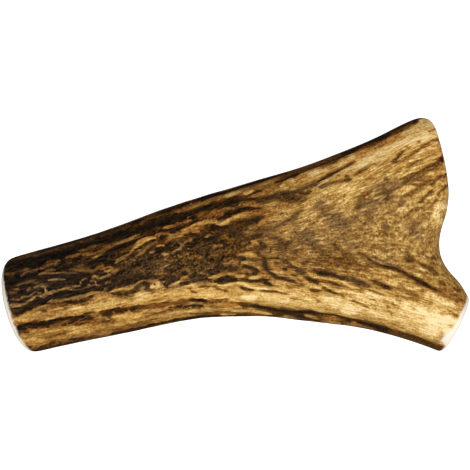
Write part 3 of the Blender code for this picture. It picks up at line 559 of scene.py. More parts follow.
# The ridges between them, rubbed pale, and the brown lines where the rubbing only began; one streak at the
# upper tine's tip is partly painted light.
RIDGES = (
    (0.28, 0.2, 1.6, 10, 261.5, 25, 257.5, 32, 255, 45, 252.5, 52, 250.5, 70, 245.5, 80, 241.5, 90, 238.5,
     112, 231.8, 130, 226.5),
    (0.32, 0.2, 2.5, 32, 256.3, 38, 254.8),
    (0.32, 0.3, 2, 5, 274, 12, 274, 18, 271, 25, 269, 30, 268),
    (0.43, 0.5, 3, 5, 273, 8, 274),
    (0.43, 0.7, 1.8, 24, 270, 28, 269.3),
    (0.45, 0.2, 1.8, 20, 277, 24, 274, 28, 272.5, 33, 271, 37, 269.7),
    (0.43, 0.6, 2.2, 36, 269.7, 39, 268.5, 42, 266, 45, 263.5, 48, 262, 52, 261.3, 56, 261, 60, 260.3),
    (0.40, 0.5, 1.6, 40, 269, 43, 268, 46, 265.3, 50, 264, 58, 263),
    (0.45, 0.2, 2.5, 44, 272, 47, 270.7, 50, 270.3, 56, 270),
    (0.43, 0, 1.6, 38, 275, 42, 273.7, 46, 272.5, 50, 273, 58, 273),
    (0.49, -0.1, 1.8, 56, 273.5, 62, 272.7, 70, 272.3, 78, 272.7),
    (0.43, -0.2, 2, 48, 280.3, 55, 279.6, 60, 279.4, 65, 279.4),
    (0.45, -0.3, 2, 46.5, 284, 48, 281.5),
    (0.36, -0.2, 2, 17, 285, 23, 283.5, 30, 281.5, 34, 280),
    (0.32, 0.1, 2.5, 33, 283, 38, 283, 44, 284.5, 48, 286),
    (0.47, 0, 1.8, 34, 288, 37, 285.7, 42, 285.6, 45, 287.5, 47, 289.5),
    (0.55, 0.1, 3, 44.5, 290, 47, 290.3),
    (0.45, -0.3, 2, 34.5, 291, 37, 292.3, 41, 292),
    (0.07, 0, 2.5, 38.5, 288.6, 42, 288.5),
    (0.43, 0, 1.8, 26.5, 290.5, 29, 289, 31.5, 287),
    (0.42, 0.5, 3, 13, 289.3, 19, 289.7),
    (0.36, -0.3, 2, 10, 293.5, 14, 292.3, 17, 291.3),
    (0.45, 0.1, 1.8, 20, 298, 24, 296.7, 27, 296.2),
    (0.42, 0.2, 1.8, 10, 299.3, 15, 299.7),
    (0.43, 0.6, 2, 15.5, 300, 19.5, 300.2),
    (0.42, -0.2, 1.8, 28.5, 296, 31, 294.3, 34, 292.5),
    (0.43, 0.2, 3, 10, 305, 15, 305, 19, 306),
    (0.47, 0.2, 2.5, 18, 306, 22, 304.5, 26, 302.5, 30, 300.5),
    (0.55, 0.2, 2.2, 29, 300.8, 32, 299.3, 34, 297.3, 36, 296),
    (0.43, 0.2, 1.5, 36, 296, 41, 295.3, 45, 294.5, 48, 293.3, 51, 291.5, 54, 289.5),
    (0.51, 0.1, 2, 49, 294.7, 54, 292.7, 58, 290.7, 62, 289.8),
    (0.57, 0.3, 2.2, 62, 289.6, 66, 288.9, 70, 287.5),
    (0.45, 0.1, 2, 70, 287.5, 76, 286, 80, 285.3),
    (0.42, -0.1, 1.4, 41, 297.4, 44, 297, 47, 296.3),
    (0.47, 0.3, 3, 48, 302.3, 55, 300.7, 62, 299.7, 70, 299.3, 74, 298.2),
    (0.54, 0.3, 4, 16, 322, 24, 320.5, 32, 319),
    (0.63, 0.1, 8, 15, 319.5, 25, 316.5, 35, 314.5, 45, 314.5, 55, 313.5, 65, 312.5, 80, 309.5),
    (0.54, 0.3, 4, 32, 310.5, 42, 307.7, 50, 305),
    (0.75, 0, 3.5, 57, 309, 61, 308),
    (0.80, 0, 4.5, 70, 308, 76, 307, 84, 308),
    (0.62, 0, 3, 44, 317.3, 50, 317.5, 56, 316),
    (0.56, 0.6, 2.5, 25, 313, 33, 312.5),
    (0.55, 0.6, 2.5, 28, 320.5, 32, 320.5),
    (0.56, 0.4, 5, 28, 330.5, 40, 330.5, 50, 331, 60, 330.5),
    (0.66, 0.1, 6, 65, 329, 80, 328, 90, 328),
    (0.52, 0, 3, 32, 334.5, 40, 334.5, 50, 334),
    (0.58, 0.1, 5, 21, 335, 28, 337.5, 34, 338.5),
    (0.50, 0.3, 5, 26, 342, 35, 344, 45, 342.5),
    (0.44, 0, 1.5, 54, 325, 58, 323.7),
    (0.46, 0.1, 2.5, 60, 337.5, 70, 337, 80, 335.7, 90, 335),
    (0.36, 0.2, 2, 80, 250.5, 86, 249.3),
    (0.44, 0.2, 3, 88, 248.5, 92, 247, 97, 245.7),
    (0.50, 0.6, 4, 66, 258, 70, 257, 75, 256, 80, 254.7),
    (0.44, 0.6, 3, 80, 254.5, 90, 254, 96, 253.2, 100, 251.5),
    (0.50, 0.9, 3, 100, 250.5, 106, 248.3, 110, 246.7, 113, 246),
    (0.58, 0.2, 2.8, 113, 245.8, 117, 244, 122, 242, 128, 240, 133, 237.3, 137, 234.8),
    (0.42, 0.2, 2, 92, 258, 97, 256, 101, 253.7, 106, 251),
    (0.52, 0.1, 2, 116, 262, 118, 260, 122, 257.7, 127, 255, 131, 252.3, 134, 249.5),
    (0.62, 0.2, 3, 131, 251, 134, 248, 137, 245.5),
    (0.74, 0.3, 4, 136, 245, 141, 241.7, 145, 239.3, 150, 237.7),
    (0.55, 0, 1.8, 135, 256.3, 139, 254.3, 143, 252.3, 146, 248.5, 149, 245.5),
    (0.50, 0, 1.8, 137, 250.3, 143, 250),
    (0.50, -0.1, 1.8, 115, 263.3, 117, 260.7, 121, 259, 126, 257.3),
    (0.58, 0.3, 4, 124.5, 262, 127, 262.3),
    (0.54, -0.1, 2.6, 130, 259.3, 136, 260),
    (0.47, 0.6, 1.8, 98, 268, 104, 265.3),
    (0.44, 0.6, 1.8, 101, 270, 110, 266),
    (0.44, 0.7, 1.8, 106, 271.7, 114, 268),
    (0.44, 0.5, 1.8, 111, 272.7, 119, 269.3),
    (0.40, 0.3, 2, 95, 270, 99, 267.5),
    (0.38, 0.2, 2.5, 70, 269.7, 76, 270, 82, 270, 90, 270.2, 96, 270.3),
    (0.36, -0.2, 1.8, 78, 266.3, 80, 265, 83, 264),
    (0.50, 0.3, 2.6, 80, 284, 81, 281, 83, 279.3, 87, 278),
    (0.50, 0.1, 1.8, 90, 281, 94, 280.3, 96, 282.5),
    (0.50, 0.1, 1.8, 88, 284, 92, 286),
    (0.08, 0, 3, 91, 283, 93, 282.5),
    (0.50, 0.2, 1.8, 91, 278, 94, 276.3, 96, 275.3),
    (0.49, 0.5, 2.5, 96, 277.5, 98.5, 278.7),
    (0.48, 0.4, 1.8, 99, 279, 104, 277),
    (0.43, 0.3, 1.8, 105, 276, 110, 274.3),
    (0.45, 0.3, 2, 94, 284.5, 98.5, 284.8),
    (0.48, 0.2, 2.5, 104, 283.2, 108, 281.8, 111, 282.7),
    (0.43, 0.2, 2, 70, 290, 76, 290, 82, 289.2, 86, 287.3, 90, 286.3),
    (0.49, 0.1, 2.5, 72, 298.7, 78, 298, 82, 297, 87, 295.2, 91, 293.2),
    (0.43, 0.6, 2.2, 90, 292.7, 96, 292.2, 103, 292.2),
    (0.62, 0.3, 7, 95, 297, 104, 296, 112, 296),
    (0.70, 0, 6, 90, 306, 100, 304.5, 110, 303.5),
    (0.76, 0, 4.5, 110, 303, 118, 302, 126, 300.5),
    (0.72, -0.1, 3, 129, 303.3, 135, 302.3, 140, 301),
    (0.80, 0, 6, 138, 300, 146, 299, 152, 297),
    (0.76, 0, 5.5, 136, 297, 143, 294, 150, 293),
    (0.70, 0.1, 4.5, 112, 291.3, 118, 289.5, 124, 288.2, 130, 287.2, 134, 285.3),
    (0.62, 0, 2.5, 134, 284.7, 138, 283, 141, 281.3, 146, 280.3),
    (0.40, -0.5, 1.6, 140, 288, 144, 287),
    (0.64, 0.2, 5, 113, 315.5, 120, 316, 128, 316, 136, 315.3, 141, 314),
    (0.58, 0, 4, 99, 318, 108, 318.7),
    (0.72, 0, 4, 127, 322, 136, 322),
    (0.60, 0.1, 3.5, 108, 325, 118, 325, 126, 323.7),
    (0.62, 0.1, 6, 84, 326, 94, 327, 104, 325.5),
    (0.50, 0.1, 5, 92, 333, 104, 332, 112, 330),
    (0.66, 0, 3, 144, 312.3, 150, 311.3, 158, 311, 163, 309.3, 168, 308.3),
    (0.64, 0, 3.5, 150, 317.7, 156, 316.5, 163, 315.3, 170, 313.3, 176, 311.7, 184, 311),
    (0.64, 0, 3, 186, 311, 193, 311, 200, 311, 207, 310.3, 214, 310.3),
    (0.50, 0.2, 2.5, 150, 319.5, 160, 318.5, 170, 317),
    (0.46, 0.2, 1.4, 192, 303.3, 205, 303.5),
    (0.30, 0.3, 2, 142, 221.3, 150, 218.3, 158, 216.3, 168, 213.3, 176, 211.8),
    (0.36, 0.2, 2, 140, 224, 145, 222),
    (0.46, 0.4, 3, 176, 212, 182, 210.3, 188, 208.7, 192, 207.5),
    (0.62, 0.1, 2.5, 192, 207.3, 198, 205.7, 206, 203.5, 212, 201.5),
    (0.34, 0.6, 6, 198, 216, 206, 214.3, 212, 213.5),
    (0.44, 0.8, 5, 212, 213.3, 218, 213, 223, 212),
    (0.55, 0.6, 3, 163, 228.3, 168, 227.2, 172, 226.3, 176, 225.5),
    (0.50, 0.5, 3, 176, 225.5, 181, 223.5, 186, 221.7, 191, 220),
    (0.36, 0, 2, 156, 229.3, 160, 227.5),
    (0.50, 0.8, 2, 181, 230, 186, 229.2, 192, 228.5, 200, 228.7),
    (0.68, 0.2, 2.6, 179, 235.7, 185, 232.7, 190, 231.3),
    (0.62, 0.2, 2.4, 191, 232.3, 200, 231.3),
    (0.60, 0.1, 3, 166, 241.5, 170, 239.5),
    (0.64, 0.1, 4, 169, 238.5, 175, 237, 180, 235),
    (0.45, 0.3, 2, 156, 234.3, 163, 233.7, 168, 234.2, 173, 235.2),
    (0.64, 0.4, 4, 138, 244, 141, 242.5, 144, 240.3, 148, 238.3, 153, 237.3),
    (0.55, 0, 1.8, 147, 246.3, 150, 245.2, 154, 243.7, 158, 241.7),
    (0.56, 0.5, 2.5, 157, 246.3, 161, 245, 165, 246.2),
    (0.50, 0.2, 2.5, 141, 252, 144, 250.3, 147, 247.3),
    (0.50, -0.1, 3, 149, 253, 152, 251.7, 156, 250.7),
    (0.62, 0, 3.5, 162.5, 254, 168, 254),
    (0.42, -0.2, 1.6, 178, 242, 181, 244.5, 182.5, 246.5),
    (0.44, -0.1, 1.6, 181, 247, 183, 244.7, 184.5, 242.5, 189, 240, 190, 236.5),
    (0.50, 0, 1.8, 171, 253.5, 175, 251.3, 178, 249.3, 182, 247.5),
    (0.50, -0.1, 2.3, 187.5, 248.5, 190, 249),
    (0.52, 0.1, 2.5, 189, 238.7, 192, 239.3),
    (0.58, -0.1, 2.6, 205, 237, 208, 236, 211, 233.5),
    (0.6, 0.4, 3.5, 191, 226.3, 196, 224, 201, 222.7),
    (0.72, 0.2, 3.5, 200, 224, 206, 222.7, 212, 222.3, 218, 221.3),
    (0.55, 0.5, 3, 212, 248, 216, 246.3, 219, 246, 223, 245),
    (0.46, 0.3, 3, 214, 255, 218, 255.3),
    (0.44, 0.1, 1.8, 161, 268.7, 166, 265.7, 170, 263.5),
    (0.38, 0, 1.8, 156, 273, 160, 271, 163, 269),
    (0.36, 0.1, 1.5, 180, 271, 184, 268.5, 189, 269.5, 190, 273),
    (0.46, 0.8, 3.5, 181, 278, 188, 277.7),
    (0.40, 0.6, 2.5, 161, 273.3, 167, 273.5),
    (0.50, 0.2, 2.3, 198, 272.3, 203, 273.2, 208, 274.3),
    (0.56, 0.1, 3, 208, 277.5, 215, 276.3, 222, 274.7),
    (0.58, 0.2, 4, 148, 281.3, 153, 280.7, 159, 282),
    (0.74, 0.1, 4, 150, 287.3, 155, 286.5, 159, 285),
    (0.54, 0.1, 4, 160, 286, 164, 288.5),
    (0.58, 0.1, 3, 169, 286, 175, 283, 179, 281, 183, 279.7),
    (0.66, 0, 2.6, 180, 288, 187, 286.7, 192, 285.7, 197, 285.2, 203, 283.8, 210, 284, 218, 284.3),
    (0.86, 0, 4, 152, 298, 156, 294, 161, 291.3),
    (0.68, 0.1, 8, 156, 297, 166, 294, 176, 293),
    (0.64, 0.1, 6, 170, 291, 182, 293, 190, 296),
    (0.68, 0.2, 4, 199, 292, 206, 292.5, 214, 292.5),
    (0.64, 0.1, 2, 192, 296.7, 198, 296.7, 207, 296.5),
    # the middle
    (0.50, 0.4, 3, 210, 200.3, 216, 199.2, 222, 197.3, 226, 196.3),
    (0.76, 0, 3, 226, 197, 231, 195, 236, 193.3, 241, 191.5),
    (0.7, 0.1, 3, 244, 194.3, 249, 192, 253, 190.3),
    (0.52, 0.5, 3, 252, 196.3, 260, 194.3, 267, 192.5, 274, 190.5),
    (0.44, 0.4, 4, 240, 205, 246, 204, 252, 204, 256, 205),
    (0.50, 0, 2, 222, 209.3, 228, 208.7, 234, 208.2),
    (0.70, 0.1, 4, 216, 224, 222, 223, 226, 221.5, 230, 219.3),
    (0.60, 0.2, 4, 230, 219, 235, 217, 240, 215.3, 245, 215, 251, 213.7),
    (0.50, 0.5, 4, 250, 213.3, 256, 212.3, 262, 213),
    (0.50, 0.6, 1.6, 252, 206, 257, 206),
    (0.40, 0.4, 3, 224, 235, 227, 237),
    (0.60, 0.4, 3.5, 259, 225, 262, 222.3, 266, 220.5, 269, 218.5),
    (0.44, -0.2, 2.5, 245, 232.5, 252, 232.3),
    (0.42, 0.2, 2.5, 249, 228.3, 256, 228),
    (0.44, -0.1, 1.8, 241, 244.3, 245, 243, 248, 241.3),
    (0.60, 0.3, 3.5, 252, 241, 256, 242.5, 258, 244.5),
    (0.50, 0.4, 3, 246, 248.3, 250, 246.3, 254, 244.5),
    (0.66, 0.3, 5, 244, 254.3, 250, 254, 255, 255),
    (0.50, 0.3, 2, 237, 255, 244, 254),
    (0.62, 0.1, 2, 243, 262, 249, 263, 254, 264.3, 258, 266.3, 260, 268.5),
    (0.42, 0.3, 1.6, 241, 270.3, 247, 271.2, 251, 273),
    (0.58, 0.4, 3, 212, 277.7, 217, 276.2, 222, 274.3, 228, 273.3, 234, 274.3, 238, 276.3),
    (0.74, 0.2, 3.5, 238, 277, 244, 276),
    (0.78, 0, 3, 249, 278.3, 255, 277.7, 260, 276.3),
    (0.52, 0.4, 4, 260, 274, 264, 275.7, 267, 277.5),
    (0.56, 0, 2.3, 269, 263.3, 273, 262, 278, 261),
    (0.50, 0.6, 2.3, 272, 266.3, 277, 267.7, 281, 267),
    (0.43, 0.1, 2, 281, 262, 286, 264.3),
    (0.62, 0, 2.5, 272, 271.3, 278, 272.2, 285, 274, 291, 276, 298, 278, 304, 279),
    (0.48, -0.1, 2.3, 262, 253.3, 266, 251, 269, 248.3),
    (0.46, 0, 2.5, 272, 250.5, 277, 249.5),
    (0.48, 0.1, 2, 271, 254, 276, 256),
    (0.46, 0.1, 2, 280, 256, 285, 258.3),
    (0.62, 0.3, 4, 276, 231, 280, 230.7, 284, 231, 288, 229.3),
    (0.60, 0.1, 3, 286, 239.3, 290, 239),
    (0.48, 0, 3, 265, 238.3, 268, 240),
    (0.48, 0.3, 4, 274, 207, 280, 207, 287, 205),
    (0.48, 0.4, 5, 284, 205, 290, 206.5),
    (0.56, -0.1, 4, 279, 214.3, 286, 215.7, 290, 213.5),
    (0.50, 0.5, 5, 264, 213, 275, 212),
    (0.42, 0.2, 1.5, 222, 263, 228, 262.6, 233, 262.2, 238, 261.7),
    (0.42, 0.3, 2, 231, 261, 236, 260.2),
    (0.40, 0.5, 3, 224, 260, 228, 259.3),
    (0.68, 0.2, 5, 212, 294, 222, 294, 234, 294, 244, 294),
    (0.85, 0, 2.8, 218, 285, 225, 285, 232, 283.7, 238, 283.2, 243, 283.7, 247, 285.3, 250, 287, 258, 288,
     266, 288.3),
    (0.92, 0, 4, 242, 296.5, 250, 298, 256, 297),
    (0.82, 0.1, 6, 262, 297, 272, 298, 282, 299.5, 290, 300),
    (0.74, 0.2, 3, 280, 290.5, 288, 291),
    (0.66, 0.1, 3, 270, 281.3, 276, 282.3, 282, 284, 290, 284.7),
    (0.50, 0.6, 3.5, 222, 305.3, 230, 305, 238, 305.3),
    (0.68, 0.1, 2.2, 232, 310.7, 240, 311, 248, 311, 256, 312, 264, 313, 272, 314),
    (0.56, 0.1, 2, 210, 310, 222, 309.3, 232, 308.7),
    (0.6, 0, 1.2, 222, 314.6, 235, 314.2),
    (0.50, 0, 1.5, 283, 316, 289, 317.3, 295, 318),
    (0.50, 0, 1.4, 305, 315, 311, 316.5, 317, 318.3),
    # the palm
    (0.70, 0.1, 2.6, 308, 273.3, 313, 275.2, 318, 277),
    (0.68, 0.2, 2.6, 318, 277, 325, 278, 331, 278.3, 336, 280, 340, 282.3),
    (0.66, 0.1, 3, 304, 280.3, 308, 283, 313, 285.7, 318, 287, 321, 288),
    (0.74, 0.1, 2.6, 321, 283.3, 327, 286, 331, 288, 336, 290, 341, 292),
    (0.80, 0.1, 2.6, 342, 281.7, 347, 284, 353, 286.5, 358, 288),
    (0.58, 0.4, 2, 289, 270.3, 293, 272.3, 296, 274.7),
    (0.74, 0.1, 5, 290, 303, 305, 304, 320, 306),
    (0.69, 0.3, 5, 296, 292, 304, 294, 312, 295),
    (0.84, 0, 6, 330, 303, 345, 306, 360, 309),
    (0.92, 0, 5.5, 342, 311, 356, 312),
    (0.82, 0.1, 3.5, 318, 298, 326, 298.5, 333, 300),
    (0.82, 0.1, 2.6, 343, 291, 350, 292, 357, 294, 363, 296),
    (0.80, 0, 6, 365, 312, 380, 315, 395, 320),
    (0.85, 0, 4, 366, 292.3, 372, 293.3, 378, 296, 384, 298, 390, 299.3, 400, 301, 406, 302.3),
    (0.62, 0.2, 2, 373, 287, 379, 288),
    (0.62, 0.2, 4, 350, 270.3, 355, 272, 362, 275, 370, 276.3),
    (0.62, 0.3, 4.5, 378, 273, 385, 274.3, 392, 277),
    (0.60, -0.1, 5, 375, 252.5, 382, 254.3, 390, 257.3, 397, 261),
    (0.56, -0.1, 4.5, 356, 259, 362, 260.3, 366, 262.3),
    (0.46, -0.3, 1.8, 372, 258.3, 380, 261.3, 388, 263.8, 395, 266),
    (0.64, 0, 6, 400, 281, 408, 284, 414, 286.5),
    (0.74, 0, 3.5, 390, 283, 398, 282.5),
    (0.64, 0, 3, 400, 264, 409, 267),
    (0.40, 0.2, 1.6, 343, 322.7, 348, 324, 354, 324.5, 360, 326, 368, 328, 375, 329.5),
    (0.42, 0.7, 2.4, 352, 323, 356, 323.5),
    (0.40, 0.4, 3.5, 322, 318.3, 330, 318.5, 338, 318.7),
    (0.46, 0.1, 1.3, 322, 321.3, 332, 322.3, 340, 323),
    (0.72, 0, 3, 302, 229, 305, 226, 307, 223),
    (0.66, 0, 3, 302, 217, 306, 214.3, 310, 211.5),
    (0.76, 0, 3, 310, 218, 314, 215.3, 318, 212.3),
    (0.66, 0, 6, 304, 205, 310, 203, 314, 201),
    (0.54, 0.1, 3, 288, 236, 293, 237),
    (0.52, 0.5, 3, 278, 232, 282, 232),
    (0.66, 0, 1.8, 305, 246, 307, 250, 309, 254.5),
    (0.52, 0.5, 3.5, 298, 253, 305, 252),
    (0.54, 0.3, 3.5, 292, 262, 298, 264.5),
    (0.66, 0.2, 5, 281, 186, 286, 184, 290, 181.5, 295, 180),
    (0.78, 0.1, 6, 298, 179, 304, 176, 312, 173.5, 320, 171, 327, 169.3),
    (0.86, 0, 3.5, 312, 173, 318, 172),
    (0.66, -0.1, 3, 280, 188.5, 286, 187.5),
    (0.52, 0.6, 2, 322, 168, 330, 165.5, 334, 164),
    (0.72, 0.1, 4.5, 335, 165, 340, 163, 346, 160.3, 352, 157.3, 358, 154.5),
    (0.80, -0.1, 3, 350, 158, 355, 156),
    (0.64, 0, 2, 321, 182.3, 326, 180.3, 332, 178, 340, 176.3),
    (0.60, 0, 3.5, 336, 178, 343, 175),
    (0.68, 0, 4, 346, 171.5, 354, 169),
    (0.84, 0, 6, 356, 167, 362, 164.5, 368, 161, 374, 157.5),
    (0.80, 0.2, 6, 374, 156, 380, 153.5, 386, 151, 392, 147.5),
    (0.87, 0.2, 5, 392, 147, 400, 143.3, 408, 140.3, 416, 138.5),
    (0.76, 0, 4.5, 335, 190, 342, 189, 348, 188.3),
    (0.55, 0.0, 6, 325, 196, 335, 197, 345, 195),
    (0.52, 0.6, 4.5, 357, 156, 363, 153, 369, 150),
    (0.46, 0.5, 2.5, 370, 150.3, 376, 149, 382, 145.5, 388, 142.3),
    (0.46, 0.7, 3, 383, 144, 388, 142, 395, 139),
    (0.52, 0.5, 3, 388, 139.5, 396, 136.5, 402, 133),
    (0.66, 0, 1.8, 374, 219, 377, 223, 379, 228),
    (0.70, 0, 2, 391, 230, 395, 233, 399, 236.3, 402, 239.3),
    (0.70, 0, 2, 397, 241, 399.5, 245.3),
    (0.66, 0, 2, 374, 233, 378, 232),
    (0.68, 0, 2, 375, 237, 378, 240),
    (0.62, 0, 1.6, 366, 198, 371, 196, 376, 192.7),
    # the two tines
    (0.70, -0.1, 3, 397, 177.3, 402, 175.3, 408, 172.3, 414, 170),
    (0.58, 0, 3.5, 414, 170, 419, 166.3, 425, 163.5, 431, 160.5, 437, 157.5),
    (0.74, 0.1, 3.5, 415, 157.3, 422, 153.3, 428, 150, 436, 147.3),
    (0.68, 0.3, 4, 437, 152, 440, 155),
    (0.72, 0.3, 3, 430, 146.3, 435, 144, 438, 142),
    (0.8, 0.1, 6, 403, 134, 412, 130.3, 418, 126),
    (0.78, 0.1, 5, 418, 125, 424, 123.7, 431, 126),
    (0.84, 0.1, 6.5, 420, 132.5, 427, 134, 433, 136),
    # This pale streak round the tip's upper edge is partly paler bone and partly painted light, where the
    # rounded edge turns away from the near lamp.
    (0.9, 0.2, 4, 420, 121, 428, 122, 434, 127, 437, 134),
    (0.86, 0, 4, 418, 140, 426, 138.3),
    (0.62, 0.3, 4, 432, 178, 436, 174.3, 441, 171.3, 445, 169.3),
    (0.68, -0.1, 4, 436, 186, 440, 183.3, 446, 180.7),
    (0.64, 0.4, 4.5, 443, 196, 447, 191.5),
    (0.64, 0.3, 3, 424, 191.3, 428, 189.3, 432, 188),
    (0.70, 0.1, 4, 396, 193.3, 402, 190.5, 408, 188.3, 415, 187),
    (0.62, 0.1, 5, 421, 206, 425, 210, 422, 214),
    (0.64, 0.3, 3, 427, 203, 431, 200.5),
    (0.74, 0, 6, 432, 222, 436, 226),
    (0.90, 0, 7, 437, 206, 441, 206.5, 446, 206),
    (0.88, 0.1, 6, 434, 212, 437, 218, 440, 223),
    (0.92, 0, 4, 436, 212, 438, 216),
    (0.84, 0, 4.5, 438, 222, 440, 218),
    (0.68, -0.1, 3, 399, 209, 403, 211.5),
    (0.72, 0, 1.6, 410, 250.7, 416, 254.7),
    (0.68, 0, 1.4, 422, 257, 428, 263),
    (0.62, 0.1, 1.2, 425, 270, 431, 277, 434, 279),
    (0.58, 0, 2, 440, 264, 443, 270, 447, 275.5),
    (0.84, 0.1, 6, 424, 293, 433, 297, 441, 301, 452, 305.5),
    (0.84, 0, 4, 432, 306, 441, 304.5),
    (0.80, 0, 7, 400, 312, 412, 318, 420, 322),
    (0.76, 0.1, 6, 396, 318, 404, 324, 412, 328),
    (0.94, 0, 8, 404, 304, 414, 308, 426, 313),
    (0.90, 0, 8, 420, 328, 436, 334),
    (1.00, 0, 14, 428, 319, 440, 321, 452, 322),
    (0.96, 0, 6, 444, 333, 450, 330),
    (0.70, 0.4, 3, 441, 341, 445, 344),
    (0.58, 0.4, 3.5, 460, 303, 463, 307),
)
# The small marks and scratches that lie on the pale bone.
MARKS = (
    (0.26, 0, 2.5, 291, 274, 296, 276),
    (0.36, 0.2, 2.5, 338, 295, 344, 296.5),
    (0.41, -0.1, 2, 369, 299, 375, 299.5),
    (0.41, 0.1, 1.8, 360, 304, 364, 306, 368, 307.2),
    (0.40, 0, 3, 377, 248, 383, 250, 386, 250.3),
    (0.40, 0.2, 2, 288, 286, 293, 288),
    (0.40, 0.1, 1.8, 218, 288.5, 223, 290, 228, 291),
    (0.40, 0.2, 1.5, 320, 280, 327, 280),
    (0.40, 0.1, 1.3, 420, 271, 425, 275, 430, 278),
    (0.36, 0.2, 1.6, 50, 326, 55, 325.5, 60, 324, 65, 322, 70, 321),
    (0.33, 0, 3, 340, 250.5, 344, 252.5, 350, 254),
    (0.34, 0, 2, 426, 257, 428, 258),
    (0.24, 0, 3, 400.5, 153, 403, 150.5),
    (0.42, 0.4, 2, 174, 287, 180, 286, 184, 285),
    (0.22, 0.2, 2.5, 43, 311, 47, 311),
    (0.28, 0.2, 2, 53, 306.5, 55, 306.7),
    (0.26, 0.2, 2.2, 65, 309, 67, 309),
    (0.38, 0.3, 2, 154, 284.5, 155, 284.7),
    (0.44, 0.2, 1.8, 104, 301, 107, 300.5),
    (0.44, 0.2, 2, 119, 304.5, 122, 304.5),
    (0.50, 0.2, 2, 102, 294, 105, 294),
    (0.45, 0.2, 2, 172, 306, 175, 306.3),
    (0.52, 0.2, 1.5, 291, 298, 294, 300, 298, 299),
    (0.46, 0.1, 1.5, 317, 300, 321, 301.3),
    (0.50, 0.1, 1.5, 326.5, 310, 328, 310.3),
    (0.52, 0, 1.4, 384, 299, 386, 303, 388, 307),
    (0.46, 0.1, 1.6, 391, 302, 394, 305, 398, 308.3),
    (0.52, 0, 1.3, 395, 299.7, 400, 301.3),
    (0.52, -0.1, 2, 382, 307, 386, 310, 390, 312.3, 393, 315.5),
    (0.58, 0.1, 2, 363, 313, 367, 313.5),
    (0.56, 0.1, 2, 373, 317, 376, 317),
    (0.56, 0, 1.4, 375, 302, 378, 305),
    (0.56, 0, 1.4, 370, 305.3, 375, 306),
    (0.66, 0, 1.3, 402, 316, 408, 318.3),
    (0.70, 0, 1.3, 412, 305, 414, 309.5),
    (0.62, -0.3, 1.5, 439.5, 335.5, 443, 334),
    (0.62, -0.1, 2.5, 427, 335, 430, 337.3),
    (0.56, 0.1, 2, 418, 334, 423, 334.3),
    (0.64, 0.1, 1.6, 411, 329.3, 416, 330.3),
    (0.74, 0.2, 1.5, 455.5, 325, 458, 327.3),
    (0.62, 0, 1.2, 438, 311, 446, 312.3),
    (0.50, 0, 2, 448, 310, 452, 314, 457, 317, 462, 320),
    (0.48, 0.6, 2.5, 296, 180.3, 300, 178.3, 304, 176, 306.5, 174.8),
    (0.46, 0.3, 2.5, 287.5, 185, 291, 187.3),
    (0.58, 0.4, 1.6, 423, 123, 427, 122.3),
    (0.52, 0.4, 2, 431, 210, 433, 209),
    (0.45, 0.1, 1.8, 423, 157, 428, 155, 431, 153, 436, 150.5),
    (0.45, 0, 1.6, 428, 132, 432, 130.5, 436, 128.3),
    (0.45, 0, 1.6, 418, 143, 420, 141.3),
    (0.50, 0, 1.6, 370, 166, 376, 164, 380, 163),
)


def near_line(line):
    """Each vertex's distance to a line of straight runs, in pixels, and its place along it."""
    points = np.reshape(line, (-1, 2)).astype(float)
    lengths = np.linalg.norm(np.diff(points, axis=0), axis=1)
    far = np.concatenate([[0], np.cumsum(lengths)])
    nearest = np.full(len(drawn), np.inf)
    place = np.zeros(len(drawn))
    for a, b, length, start in zip(points, points[1:], lengths, far):
        t = np.clip((drawn - a) @ (b - a) / length**2, 0, 1)
        away = np.linalg.norm(drawn - a - t[:, None] * (b - a), axis=1)
        closer = away < nearest
        nearest = np.where(closer, away, nearest)
        place = np.where(closer, (start + t * length) / far[-1], place)
    return nearest, place


def covered(away, width):
    """How far a soft streak covers each vertex: 1 on its line, and fading past its width."""
    return np.exp(-((away / (SOFTNESS * width)) ** 2))


# A streak darker than FURROW_TONE is a stained furrow, and a paler one is a rubbed ridge.
# Stained bone is as dark as its furrow's tone, and bare bone between streaks is darker on the beam.
SOFTNESS = 0.62
FURROW_TONE = 0.42
FURROW_STAIN = 0.98
RIDGE_STAIN = 0.0
THINNEST = 2.5
NARROWED_ENDS = 0.55
END_SHARE = 0.15
on_palm = rise_between(0.4, 0.65, share)
tone = 0.50 + 0.14 * on_palm
stain = 0.60 - 0.38 * on_palm
darkest = 0.03 + 0.25 * on_palm
warmth = np.zeros(count)
placed = np.zeros(count)
for wash_tone, wash_warmth, wash_stain, width, *line in BROAD_WASHES:
    away, place = near_line(line)
    cover = covered(away, width)
    tone += (wash_tone - tone) * cover
    warmth += (wash_warmth - warmth) * cover
    stain += (wash_stain - stain) * cover
    # The less of a wash is stained, the paler the stain in it is too.
    darkest += (0.08 + 0.28 * (1 - wash_stain) - darkest) * cover
broad_stain = stain.copy()
for streaks in (FURROWS, RIDGES, MARKS):
    for streak_tone, streak_warmth, width, *line in streaks:
        away, place = near_line(line)
        from_end = rise_between(0.0, END_SHARE, np.minimum(place, 1 - place))
        tapered = NARROWED_ENDS + (1 - NARROWED_ENDS) * from_end
        cover = covered(away, max(width, THINNEST) * tapered)
        placed = np.maximum(placed, cover)
        warmth += (streak_warmth - warmth) * cover
        if streak_tone < FURROW_TONE:
            # A pale furrow is stained in parts, and so is every furrow on the palm.
            full = np.minimum(FURROW_STAIN - 0.20 * on_palm, (0.72 - streak_tone) / 0.5)
            stain += (full - stain) * cover
            darkest += (streak_tone + 0.02 * on_palm - darkest) * cover
        else:
            stain += (RIDGE_STAIN - stain) * cover
            tone += (streak_tone - tone) * cover

